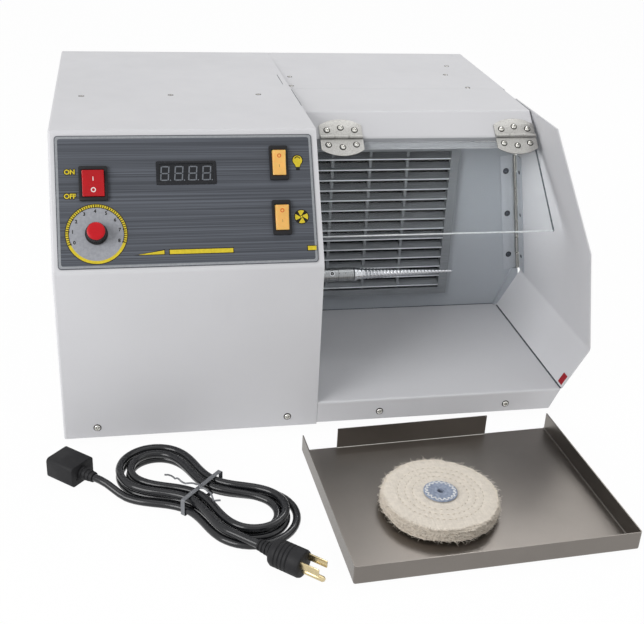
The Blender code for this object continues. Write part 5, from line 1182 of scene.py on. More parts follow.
@dataclass
class Cabinet:
    """The painted sheet metal, its screws, feet, inlet and what is inside."""

    machine: Machine
    front_screws: tuple[float, ...] = (0.0309, 0.2109)
    front_z: float = 0.0185
    lip_screws: tuple[float, ...] = (0.3029, 0.4338)
    lip_z: float = 0.0183
    top_screws: tuple[tuple[float, float], ...] = ((0.0267, 0.1880), (0.1139, 0.1917), (0.2027, 0.1940))
    hood_screws: tuple[tuple[float, float], ...] = (
        (0.2490, 0.2810), (0.2450, 0.2440), (0.4448, 0.3310), (0.4316, 0.2915), (0.4407, 0.2370),
    )
    hood_bend: tuple[float, float] = (0.1506, 0.2783)
    hood_edge: tuple[float, float] = (0.1266, 0.2576)
    flange_run: tuple[float, float] = (0.2464, 0.4780)
    flange_low: float = 0.2460
    foot_line: float = 0.0006
    roof_slope: float = 0.0237
    seam_width: float = 0.0008
    seam_runs: tuple[tuple[float, float, float], ...] = ((0.24015, 0.1510, 0.2140), (0.2345, 0.2360, 0.2790))
    wall_gap: float = 0.0002
    return_width: float = 0.0035
    return_sheet: float = 0.0006
    door_rear: float = 0.1960
    seal_height: float = 0.0004
    hinge_inset: float = 0.0037
    hinge_lean: float = 0.1648
    hinge_low: float = 0.0785
    bay_depth: float = 0.2000
    depth: float = 0.3910
    foot_places: tuple[tuple[float, float], ...] = ((0.0260, 0.0300), (0.4520, 0.0300), (0.0260, 0.3600), (0.4520, 0.3600))
    foot_names: tuple[str, ...] = ("foot_front_left", "foot_front_right", "foot_rear_left", "foot_rear_right")
    foot_height: float = 0.0077
    rear_screws: tuple[tuple[float, float], ...] = (
        (0.0120, 0.0180), (0.0120, 0.2740), (0.2400, 0.0180), (0.2400, 0.2740),
        (0.4600, 0.0180), (0.4650, 0.2740), (0.0120, 0.1450), (0.4860, 0.1450),
    )
    fan_centre: tuple[float, float] = (0.3350, 0.1400)
    fan_screw_reach: float = 0.0525
    inlet: tuple[float, float] = (0.0600, 0.0600)
    sticker: tuple[float, float] = (0.0068, 0.0390)
    sticker_size: tuple[float, float] = (0.0085, 0.0110)
    crease: tuple[float, float] = (0.5161, 0.0757)
    floor_right: float = 0.4924
    floor_z: float = 0.0321
    sheet: float = 0.0012

    def screws(self) -> None:
        """Build the domed screws on the front, the lip, the roof and the rear."""
        domed = ScrewHead(0.0029, 0.0017)
        flat = ScrewHead(0.0021, 0.0003)
        front = frame_matrix(Vector((0, 0, 0)), Vector((1, 0, 0)), Vector((0, 0, 1)), Vector((0, -1, 0)))
        places = [Matrix.Translation((x, 0, self.front_z)) @ front for x in self.front_screws]
        places += [Matrix.Translation((x, 0, self.lip_z)) @ front for x in self.lip_screws]
        self.machine.add("front_screws", stamped(domed.mesh, places), "screw_steel")
        # painted shadow: dark rings round the screw heads on the front, roof and hood
        self.machine.add("front_screw_shadows", stamped(domed.washer, places), "screw_hole_shadow")
        places = [Matrix.Translation((x, y, self.machine.case_top)) for x, y in self.top_screws]
        self.machine.add("roof_screws", stamped(flat.mesh, places), "screw_steel")
        self.machine.add("roof_screw_shadows", stamped(flat.washer, places), "screw_hole_shadow")
        lean = Matrix.Rotation(math.atan(self.roof_slope), 4, "X")
        places = [Matrix.Translation((x, y, self.roof_z(y))) @ lean for x, y in self.hood_screws]
        self.machine.add("hood_screws", stamped(flat.mesh, places), "screw_steel")
        self.machine.add("hood_screw_shadows", stamped(flat.washer, places), "screw_hole_shadow")
        rear = frame_matrix(Vector((0, 0, 0)), Vector((-1, 0, 0)), Vector((0, 0, 1)), Vector((0, 1, 0)))
        spots = list(self.rear_screws)
        reach = self.fan_screw_reach
        spots += [(self.fan_centre[0] + x * reach, self.fan_centre[1] + z * reach) for x in (-1, 1) for z in (-1, 1)]
        spots += [(self.inlet[0] + x * 0.0200, self.inlet[1]) for x in (-1, 1)]
        skin = self.depth - 0.0010
        places = [Matrix.Translation((x, skin + (0.0027 if index >= len(spots) - 2 else 0.0), z)) @ rear for index, (x, z) in enumerate(spots)]
        self.machine.add("rear_screws", stamped(ScrewHead(0.0025, 0.0012).mesh, places), "screw_steel")

    def roof_z(self, y: float) -> float:
        """Return the height of the hood's roof at a depth."""
        return self.hood_bend[1] + self.roof_slope * (y - self.hood_bend[0])

    def seams(self) -> None:
        """Lay dark strips in the seam between cabinet and hood: painted shadow of the gap."""
        half, film, top = self.seam_width / 2, 0.0003, self.machine.case_top
        parts = []
        for x, first, last in self.seam_runs:
            parts.append((block((x - half, first, top - film), (x + half, last, top + film / 6)), None))
        self.machine.add("roof_seam_shadow", merged(*parts), "painted_shade_ink")

    def door_inner(self, height: float) -> float:
        """Return where the inner face of the side door's lower part lies at a height."""
        slope = (self.crease[0] - self.floor_right) / (self.crease[1] - self.floor_z)
        outer = self.floor_right + slope * (height - self.floor_z)
        return outer - self.sheet * math.hypot(1, slope)

    def returns(self) -> None:
        """Build the stop on the back wall and the dark seal on the floor that close the gap at the door, and a dark
        strip along the foot of the back wall; seal and strip are painted shade.
        """
        low, gap, width, sheet = self.floor_z + self.foot_line, self.wall_gap, self.return_width, self.return_sheet
        slope = (self.crease[0] - self.floor_right) / (self.crease[1] - self.floor_z)
        outer = self.floor_right + slope * (low - self.floor_z)
        turn = (self.crease[0] - self.hinge_inset, self.crease[1])
        meet = (turn[0] - outer - self.hinge_lean * (low - turn[1])) / (slope + self.hinge_lean)
        top = self.hinge_low
        outline = [(self.door_inner(low) - width, low), (outer - gap, low)]
        outline += [(outer + slope * meet - gap, low + meet), (turn[0] - self.hinge_lean * (top - turn[1]) - gap, top)]
        outline += [(turn[0] - width - self.hinge_inset, top)]
        front = self.door_rear + self.wall_gap * 2
        upright = frame_matrix(Vector((0, front, 0)), Vector((1, 0, 0)), Vector((0, 0, 1)), Vector((0, -1, 0)))
        stop = plate(outline, front - self.bay_depth, 0)
        # the stop takes the bay walls' painted shade
        self.machine.add("wall_return", stop, "bay_wall_shaded_paint", matrix=self.machine.origin @ upright)
        # painted shade: dark seal strip in the gap at the door's foot
        left = self.door_inner(self.floor_z) - sheet
        strip = block((left, sheet, self.floor_z), (self.floor_right, self.door_rear, self.floor_z + self.seal_height))
        self.machine.add("floor_gap_shade", strip, "painted_shade_ink")
        # painted shade: dark strip where the floor meets the back wall
        foot = block(
            (self.machine.partition_right, self.bay_depth - self.foot_line, self.floor_z),
            (self.door_inner(low) - gap, self.bay_depth, self.floor_z + self.foot_line),
        )
        self.machine.add("floor_corner_shade", foot, "painted_shade_ink")

    def hood_flange(self) -> None:
        """Lay a darker film on the hood's return flange: painted shade, as the flange hangs in the hood's own shade."""
        y, film = self.hood_edge[0], self.return_sheet / 3
        left, right = self.flange_run
        face = block((left, y - film, self.flange_low), (right, y, self.hood_edge[1] - self.return_sheet), film / 3)
        self.machine.add("hood_flange_shade", face, "flange_shade_paint")

    def feet(self) -> None:
        """Build the four rubber feet, each with its recess."""
        for name, (x, y) in zip(self.foot_names, self.foot_places):
            top = self.foot_height
            profile = [(0, top), (0.0095, top), (0.0095, top - 0.0012), (0.0090, top - 0.0018), (0.0082, 0.0006)]
            profile += [(0.0078, 0.0), (0.0042, 0.0), (0.0038, 0.0004), (0.0036, 0.0030), (0, 0.0030)]
            place = self.machine.origin @ Matrix.Translation((x, y, 0))
            self.machine.add(name + "_rubber", turned(profile, 44), "foot_rubber", matrix=place, stands_for=[name])

    def door_sticker(self) -> None:
        """Lay the small plain red sticker on the side door's inner face at its front lower corner."""
        slope = (self.crease[0] - self.floor_right) / (self.crease[1] - self.floor_z)
        lean = Vector((slope, 0, 1)).normalized()
        inward = Vector((-lean.z, 0, lean.x))
        height = self.sticker[1]
        skin = Vector((self.floor_right + slope * (height - self.floor_z), self.sticker[0], height))
        start = skin + inward * (self.sheet + 0.00002)
        place = self.machine.origin @ frame_matrix(start, Vector((0, 1, 0)), lean, inward * -1)
        outline = rectangle((0, 0), self.sticker_size, 0.0006)
        label = plate(outline, -0.00025, 0.0)
        self.machine.add("door_sticker", label, "red_sticker", Body.DOOR, place)

    def build(self) -> None:
        """Dress the sheets and build what is fixed to them."""
        dress = self.machine.dress
        dress("case_paint", "cabinet_shell", "bay_floor", "bay_hood", "rear_top_cover", "side_door")
        dress("case_paint", "rear_side_panel", "rear_panel")
        # painted shade: darker paint on the walls inside the bay
        dress("bay_wall_shaded_paint", "back_wall", "partition_wall")
        dress("pan_paint", "base_pan")
        dress("zinc_plate", "motor_bracket", "speed_potentiometer")
        dress("motor_iron", "motor_housing", "motor_end_cap", "rotor_core")
        dress("screw_steel", "rear_bearing", "front_bearing", "motor_shaft")
        dress("board_green", "control_board")
        dress("black_plastic", "fan_frame", "fan_impeller", "power_inlet")
        self.screws()
        self.seams()
        self.returns()
        self.hood_flange()
        self.feet()
        self.door_sticker()


@dataclass
class ExtractionBay:
    """Louvre, filter, lamp, shield and the spindle in front of them."""

    machine: Machine
    spindle_y: float = 0.1000
    spindle_z: float = 0.1220
    collar_left: float = 0.2440
    collar_right: float = 0.2916
    collar_radius: float = 0.0070
    screw_x: float = 0.2683
    taper_start: float = 0.2952
    taper_end: float = 0.3978
    taper_base: float = 0.0062
    taper_tip: float = 0.0012
    flange_left: float = 0.2919
    flange_radius: float = 0.0068
    threads: int = 27
    thread_depth: float = 0.0010
    hood_bend: tuple[float, float] = (0.1506, 0.2783)
    hood_edge: tuple[float, float] = (0.1266, 0.2576)
    shield_x: tuple[float, float] = (0.2460, 0.4783)
    shield_run: tuple[float, float] = (0.0045, 0.1085)
    shield_thickness: float = 0.0030
    slat_x: tuple[float, float] = (0.2540, 0.4151)
    slat_z: tuple[float, float] = (0.0600, 0.2220)
    slat_y: float = 0.1961
    slat_count: int = 14
    slat_chord: float = 0.0088
    slat_tilt: float = 42.0
    slat_edge: float = 0.0009

    def axis(self, x: float) -> Matrix:
        """Return the frame whose Z runs along the spindle to the right from a place on it."""
        origin = Vector((x, self.spindle_y, self.spindle_z))
        return self.machine.origin @ frame_matrix(origin, Vector((0, 1, 0)), Vector((0, 0, 1)), Vector((1, 0, 0)))

    def taper(self) -> bmesh.types.BMesh:
        """Cut a real screw thread along the taper."""
        bm = bmesh.new()
        sides, per_turn = 40, 9
        rows = []
        length = self.taper_end - self.taper_start
        steps = self.threads * per_turn
        for step in range(steps + 1):
            along = step / steps
            ring = []
            for side in range(sides):
                angle = 2 * math.pi * side / sides
                phase = (step / per_turn - side / sides) % 1
                crest = abs(2 * phase - 1) ** 1.4
                fade = min(1.0, along * 14, (1 - along) * 12 + 0.05)
                base = self.taper_base + (self.taper_tip - self.taper_base) * along
                radius = base - self.thread_depth * (1 - 0.35 * along) * crest * fade
                ring.append(bm.verts.new((radius * math.cos(angle), radius * math.sin(angle), length * along * 0.985)))
            rows.append(ring)
        for one, two in zip(rows, rows[1:]):
            for side in range(sides):
                after = (side + 1) % sides
                bm.faces.new((one[side], one[after], two[after], two[side]))
        tip = bm.verts.new((0, 0, length))
        for side in range(sides):
            bm.faces.new((rows[-1][side], rows[-1][(side + 1) % sides], tip))
        bm.faces.new(rows[0][::-1])
        bmesh.ops.recalc_face_normals(bm, faces=bm.faces)
        return bm

    def spindle(self) -> None:
        """Build the collar, its set screw and the threaded taper."""
        machine = self.machine
        length = self.collar_right - self.collar_left
        radius, chamfer = self.collar_radius, 0.0007
        profile = [(0.0043, 0), (radius - chamfer, 0), (radius, chamfer), (radius, 0.0300), (radius - 0.0004, 0.0303)]
        profile += [(radius - 0.0004, 0.0311), (radius, 0.0314), (radius, length - chamfer), (radius - chamfer, length)]
        profile += [(0.0043, length)]
        collar = turned(profile, 64, closed=True)
        machine.add("collar_sleeve", collar, "collar_steel", Body.SPINDLE, self.axis(self.collar_left), ["spindle_collar"])
        flange = [(0, self.flange_left), (self.flange_radius - 0.0003, self.flange_left)]
        flange += [(self.flange_radius, self.flange_left + 0.0004), (self.flange_radius, self.taper_start - 0.0004)]
        flange += [(self.flange_radius - 0.0004, self.taper_start), (self.taper_base - 0.0008, self.taper_start + 0.0003)]
        flange += [(0, self.taper_start + 0.0003)]
        tang = [(0, self.collar_right - 0.0200), (0.0040, self.collar_right - 0.0200), (0.0040, self.flange_left + 0.001)]
        tang += [(0, self.flange_left + 0.001)]
        parts = [(turned(flange, 56), None), (turned(tang, 32), None)]
        parts.append((self.taper(), Matrix.Translation((0, 0, self.taper_start))))
        machine.add("taper_screw", merged(*parts), "spindle_chrome", Body.SPINDLE, self.axis(0), ["tapered_spindle"], 50)
        way = Vector((0, -machine.up.z, machine.up.y)).normalized()
        base = Vector((self.screw_x, self.spindle_y, self.spindle_z))
        seat = machine.origin @ frame_matrix(base, Vector((1, 0, 0)), way.cross(Vector((1, 0, 0))), way)
        rim = turned([(0.0016, radius - 0.0004), (0.0026, radius - 0.0010), (0.0029, radius - 0.0002), (0.0026, radius + 0.0003), (0.0018, radius + 0.0004)], 32, closed=True)
        machine.add("set_screw_rim", rim, "spindle_chrome", Body.SPINDLE, seat)
        hexagon = circle((0, 0), 0.0008, 6)
        grub = plate(circle((0, 0), 0.0017, 28), 0.0048, radius + 0.0001, [hexagon])
        floor = plate(circle((0, 0), 0.0016, 28), 0.0045, radius - 0.0010)
        machine.add("set_screw", merged((grub, None), (floor, None)), "matt_black", Body.SPINDLE, seat, ["collar_set_screw"])

    def filter_mat(self) -> None:
        """Build the fibrous pad behind the louvre with its lofted, uneven face."""
        low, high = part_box("filter_pad")
        margin = 0.0008
        across, up = 46, 46
        bm = bmesh.new()
        grids = []
        for face, (y, swell) in enumerate(((low.y + 0.0024, -0.0018), (high.y - 0.0030, 0.0022))):
            rows = []
            for row in range(up + 1):
                line = []
                for col in range(across + 1):
                    u, v = col / across, row / up
                    edge = min(1.0, 9 * min(u, 1 - u, v, 1 - v))
                    x = low.x + margin + (high.x - low.x - 2 * margin) * u
                    z = low.z + margin + (high.z - low.z - 2 * margin) * v
                    lump = noise.noise(Vector((x * 90, face * 7.0, z * 90))) * 0.5 + 0.5
                    pleat = 0.5 + 0.5 * math.cos(2 * math.pi * 7 * v)
                    line.append(bm.verts.new((x, y + swell * edge * (0.45 * lump + 0.55 * pleat), z)))
                rows.append(line)
            grids.append(rows)
            for one, two in zip(rows, rows[1:]):
                for col in range(across):
                    bm.faces.new((one[col], one[col + 1], two[col + 1], two[col]))
        front, back = grids
        rims = [[grid[0][c] for c in range(across + 1)] + [grid[r][across] for r in range(1, up + 1)]
                + [grid[up][c] for c in range(across - 1, -1, -1)] + [grid[r][0] for r in range(up - 1, 0, -1)]
                for grid in (front, back)]
        for index in range(len(rims[0])):
            after = (index + 1) % len(rims[0])
            bm.faces.new((rims[0][index], rims[0][after], rims[1][after], rims[1][index]))
        bmesh.ops.recalc_face_normals(bm, faces=bm.faces)
        pad = self.machine.add("filter_mat", bm, "filter_wool", matrix=Matrix.Identity(4), stands_for=["filter_pad"])

    def lamp(self) -> None:
        """Build the glass tube with its metal end caps."""
        low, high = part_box("lamp_tube")
        radius = (high.z - low.z) / 2
        length = high.x - low.x
        place = frame_matrix(Vector((low.x, (low.y + high.y) / 2, (low.z + high.z) / 2)), Vector((0, 1, 0)), Vector((0, 0, 1)), Vector((1, 0, 0)))
        glass = [(0, 0.006), (radius * 0.95, 0.006), (radius * 0.95, length - 0.006), (0, length - 0.006)]
        self.machine.add("lamp_glass_tube", turned(glass, 40), "lamp_glass", matrix=place, stands_for=["lamp_tube"])
        ends = []
        for start in (0.0, length - 0.0130):
            ends.append((turned([(0, start), (radius, start), (radius, start + 0.013), (0, start + 0.013)], 40), None))
        self.machine.add("lamp_end_caps", merged(*ends), "zinc_plate", matrix=place)

    def shield_edges(self) -> None:
        """Lay a bright strip on the shield's lower edge and a dark strip on its side: painted highlight and painted
        shade.
        """
        run = Vector((0, self.hood_edge[0] - self.hood_bend[0], self.hood_edge[1] - self.hood_bend[1])).normalized()
        out = Vector((0, run.z, -run.y))
        left, right = self.shield_x
        start = Vector((right, *self.hood_edge))
        place = self.machine.origin @ frame_matrix(start, Vector((-1, 0, 0)), run, out)
        low, high = self.shield_run
        skin, width = 0.00006, 0.0007
        thick = self.shield_thickness
        strip = block((0.001, high - width, -thick * 0.5), (right - left - 0.0005, high + skin, skin))
        self.machine.add("shield_edge_highlight", strip, "edge_highlight_ink", Body.SHIELD, place)
        side = block((-skin, low + 0.0005, -thick + 0.0002), (width * 0.6, high - 0.0002, skin))
        self.machine.add("shield_edge_shade", side, "painted_shade_ink", Body.SHIELD, place)

    def slat_edges(self) -> None:
        """Lay a bright strip along the front edge of each louvre slat: painted highlight."""
        half, tilt = self.slat_chord / 2, math.radians(self.slat_tilt)
        pitch = (self.slat_z[1] - self.slat_z[0]) / self.slat_count
        y = self.slat_y - half * math.cos(tilt)
        parts = []
        for index in range(self.slat_count):
            z = self.slat_z[0] + (index + 1 / 2) * pitch - half * math.sin(tilt)
            low = (self.slat_x[0], y - self.slat_edge / 2, z - self.slat_edge / 2)
            high = (self.slat_x[1], y + self.slat_edge / 2, z + self.slat_edge)
            parts.append((block(low, high, self.slat_edge / 6), None))
        self.machine.add("slat_edges", merged(*parts), "slat_highlight_steel")

    def build(self) -> None:
        """Dress and build the bay."""
        dress = self.machine.dress
        dress("louvre_steel", "louvre_grille")
        dress("shield_acrylic", "shield_panel")
        dress("lamp_plastic", "lamp_holder")
        self.spindle()
        self.filter_mat()
        self.lamp()
        self.shield_edges()
        self.slat_edges()


@dataclass
class Hinges:
    """The long hinge of the side door and the two round-ended hinges of the shield."""

    machine: Machine
    sheet: float = 0.0012
    gap: float = 0.0003
    pin_radius: float = 0.00075
    knuckle_gap: float = 0.0004
    shown_gap: float = 0.0011
    door_barrel: float = 0.0022
    door_leaf: float = 0.0008
    door_reach: float = 0.0160
    door_setback: float = 0.00115
    door_low: float = 0.0790
    door_high: float = 0.2160
    door_knuckles: int = 7
    bay_depth: float = 0.2000
    crease: tuple[float, float] = (0.5161, 0.0757)
    lean: float = 0.1648
    round_barrel: float = 0.0018
    round_leaf: float = 0.0010
    round_setback: float = 0.0009
    round_width: float = 0.0430
    round_side: float = 0.0140
    round_reach: float = 0.0210
    round_centres: tuple[float, float] = (0.2770, 0.4585)
    round_knuckles: int = 3
    hood_bend: tuple[float, float] = (0.1506, 0.2783)
    hood_edge: tuple[float, float] = (0.1266, 0.2576)
    round_screws: tuple[tuple[float, float], ...] = ((-0.0140, 0.0084), (0.0140, 0.0084), (0.0, 0.0112))
    wall_screw_heights: tuple[float, ...] = (0.0965, 0.1475, 0.1985)
    door_screw_heights: tuple[float, ...] = (0.0965, 0.1475, 0.1985)

    def leaf_outline(self, length: float, side: float, middle: float, knuckles: int, mine: int, barrel: float, setback: float) -> Outline:
        """Return a leaf's edge, with fingers into its own knuckles and notches round the others.

        Args:
            length: The hinge's length.
            side: How far the leaf reaches at its ends.
            middle: How far it reaches at its middle.
            knuckles: Knuckles in all.
            mine: 0 for the leaf with the first knuckle, 1 for the other.
            barrel: The knuckles' radius.
            setback: Where the fingers start.

        Returns:
            The outline.
        """
        pitch = length / knuckles
        points = []
        for index in range(knuckles):
            first, last = index * pitch - length / 2, (index + 1) * pitch - length / 2
            near = setback if index % 2 == mine else barrel + self.gap
            inset = self.knuckle_gap if index % 2 == mine else -self.knuckle_gap
            points.append((first + (inset if index else 0), near))
            points.append((last - (inset if index < knuckles - 1 else 0), near))
        points.append((length / 2, side))
        if middle > side:
            rise = middle - side
            radius = (rise**2 + (length / 2) ** 2) / (2 * rise)
            half_angle = math.asin(length / 2 / radius)
            steps = 28
            for step in range(1, steps):
                turn = half_angle * (1 - 2 * step / steps)
                points.append((radius * math.sin(turn), middle - radius + radius * math.cos(turn)))
        points.append((-length / 2, side))
        return points

    def leaf(self, node: str, place: Matrix, body: Body, wide: bool, mine: int) -> None:
        """Build one leaf with rolled knuckles.

        Args:
            node: The solid that it replaces.
            place: The knuckle line along local X, the leaf along local Y.
            body: The body that carries it.
            wide: Whether it belongs to a round-ended hinge.
            mine: 0 for the leaf with the first knuckle, 1 for the other.
        """
        if wide:
            length, knuckles, barrel = self.round_width, self.round_knuckles, self.round_barrel
            outline = self.leaf_outline(length, self.round_side, self.round_reach, knuckles, mine, barrel, self.round_setback)
            thickness = self.round_leaf
        else:
            length, knuckles, barrel = self.door_length, self.door_knuckles, self.door_barrel
            outline = self.leaf_outline(length, self.door_reach, self.door_reach, knuckles, mine, barrel, self.door_setback)
            thickness = self.door_leaf
        parts = [(plate(outline, -barrel, thickness - barrel, rounding=0.00018), None)]
        pitch = length / knuckles
        bore = self.pin_radius + self.gap / 2
        for index in range(mine, knuckles, 2):
            shown = self.knuckle_gap if wide else self.shown_gap
            first = index * pitch - length / 2 + shown / 2
            last = first + pitch - shown
            rim = 0.0002
            profile = [(bore, first), (barrel - rim, first), (barrel, first + rim), (barrel, last - rim), (barrel - rim, last), (bore, last)]
            turn = frame_matrix(Vector((0, 0, 0)), Vector((0, 1, 0)), Vector((0, 0, 1)), Vector((1, 0, 0)))
            parts.append((turned(profile, 28, closed=True), turn))
        flat = "hinge_nickel" if wide else "leaf_zinc"
        self.machine.add(node + "_plate", merged(parts[0]), flat, body, place, [node])
        self.machine.add(node + "_knuckles", merged(*parts[1:]), "hinge_nickel" if wide else "screw_steel", body, place)

    def build(self) -> None:
        """Build the leaves, pins and screws of all three hinges."""
        machine = self.machine
        inset = self.sheet / math.cos(math.atan(self.lean)) + self.gap + self.door_barrel + self.knuckle_gap / 8
        hinge_y = self.bay_depth - self.gap - self.door_barrel
        ends = [Vector((self.crease[0] - self.lean * (z - self.crease[1]) - inset, hinge_y, z)) for z in (self.door_low, self.door_high)]
        up = (ends[1] - ends[0]).normalized()
        out = Vector((up.z, 0, -up.x))
        middle = (ends[0] + ends[1]) / 2
        self.door_length = (ends[1] - ends[0]).length
        wall_place = machine.origin @ frame_matrix(middle, up, -out, Vector((0, -1, 0)))
        door_place = machine.origin @ frame_matrix(middle, -up, Vector((0, -1, 0)), -out)
        self.leaf("door_hinge_wall_leaf", wall_place, Body.MACHINE, False, 0)
        self.leaf("door_hinge_door_leaf", door_place, Body.DOOR, False, 1)
        head = ScrewHead(0.0026, 0.0013)
        seat = self.door_leaf - self.door_barrel
        wall = [Matrix.Translation((z - (self.door_low + self.door_high) / 2, 0.0098, seat)) for z in self.wall_screw_heights]
        door = [Matrix.Translation(((self.door_low + self.door_high) / 2 - z, 0.0098, seat)) for z in self.door_screw_heights]
        small = ScrewHead(0.0021, 0.0008)
        machine.add("wall_leaf_screws", stamped(head.mesh, wall), "motor_iron", Body.MACHINE, wall_place)
        # painted shadow: dark rings round the wall leaf's screw heads
        machine.add("wall_leaf_screw_shadows", stamped(head.washer, wall), "screw_hole_shadow", Body.MACHINE, wall_place)
        machine.add("door_leaf_screws", stamped(small.mesh, door), "motor_iron", Body.DOOR, door_place)
        run = Vector((0, self.hood_edge[0] - self.hood_bend[0], self.hood_edge[1] - self.hood_bend[1])).normalized()
        strip_out = Vector((0, run.z, -run.y))
        axis = Vector((0, self.hood_edge[0], self.hood_edge[1])) + strip_out * (self.gap + self.round_barrel)
        for side, x in zip(("left", "right"), self.round_centres):
            centre = Vector((x, axis.y, axis.z))
            upper = machine.origin @ frame_matrix(centre, Vector((1, 0, 0)), -run, strip_out)
            lower = machine.origin @ frame_matrix(centre, Vector((-1, 0, 0)), run, strip_out)
            self.leaf(f"{side}_hinge_upper_leaf", upper, Body.MACHINE, True, 0)
            self.leaf(f"{side}_hinge_lower_leaf", lower, Body.SHIELD, True, 1)
            height = self.round_leaf - self.round_barrel
            spots = [Matrix.Translation((u, v, height)) for u, v in self.round_screws]
            for row, body, seat in (("upper", Body.MACHINE, upper), ("lower", Body.SHIELD, lower)):
                machine.add(f"{side}_hinge_{row}_screws", stamped(head.mesh, spots), "screw_steel", body, seat)
                # painted shadow: dark rings round the hinge screw heads
                machine.add(f"{side}_hinge_{row}_screw_shadows", stamped(head.washer, spots), "screw_hole_shadow", body, seat)
            half = self.round_width / 2
            pin = [(0, -half), (self.pin_radius, -half), (self.pin_radius, half), (0, half)]
            turn = machine.origin @ frame_matrix(centre, Vector((0, 1, 0)), Vector((0, 0, 1)), Vector((1, 0, 0)))
            machine.add(f"{side}_pin_rod", turned(pin, 24), "screw_steel", Body.MACHINE, turn, [f"{side}_hinge_pin"])
        half = self.door_length / 2
        pin = [(0, -half), (self.pin_radius, -half), (self.pin_radius, half), (0, half)]
        turn = machine.origin @ frame_matrix(middle, out, Vector((0, 1, 0)), up)
        machine.add("door_pin_rod", turned(pin, 24), "screw_steel", Body.MACHINE, turn, ["door_hinge_pin"])


@dataclass(frozen=True)
class RockerSwitch:
    """One rocker switch: where it sits, its sizes and its marks, in the panel's frame."""

    title: str
    body: Body
    centre: tuple[float, float]
    bezel: tuple[float, float]
    rocker: tuple[float, float]
    finish: str
    ring_at: float
    bar_at: float
    ring_radius: float
    bar_length: float
    ring_ink: str
    bar_ink: str


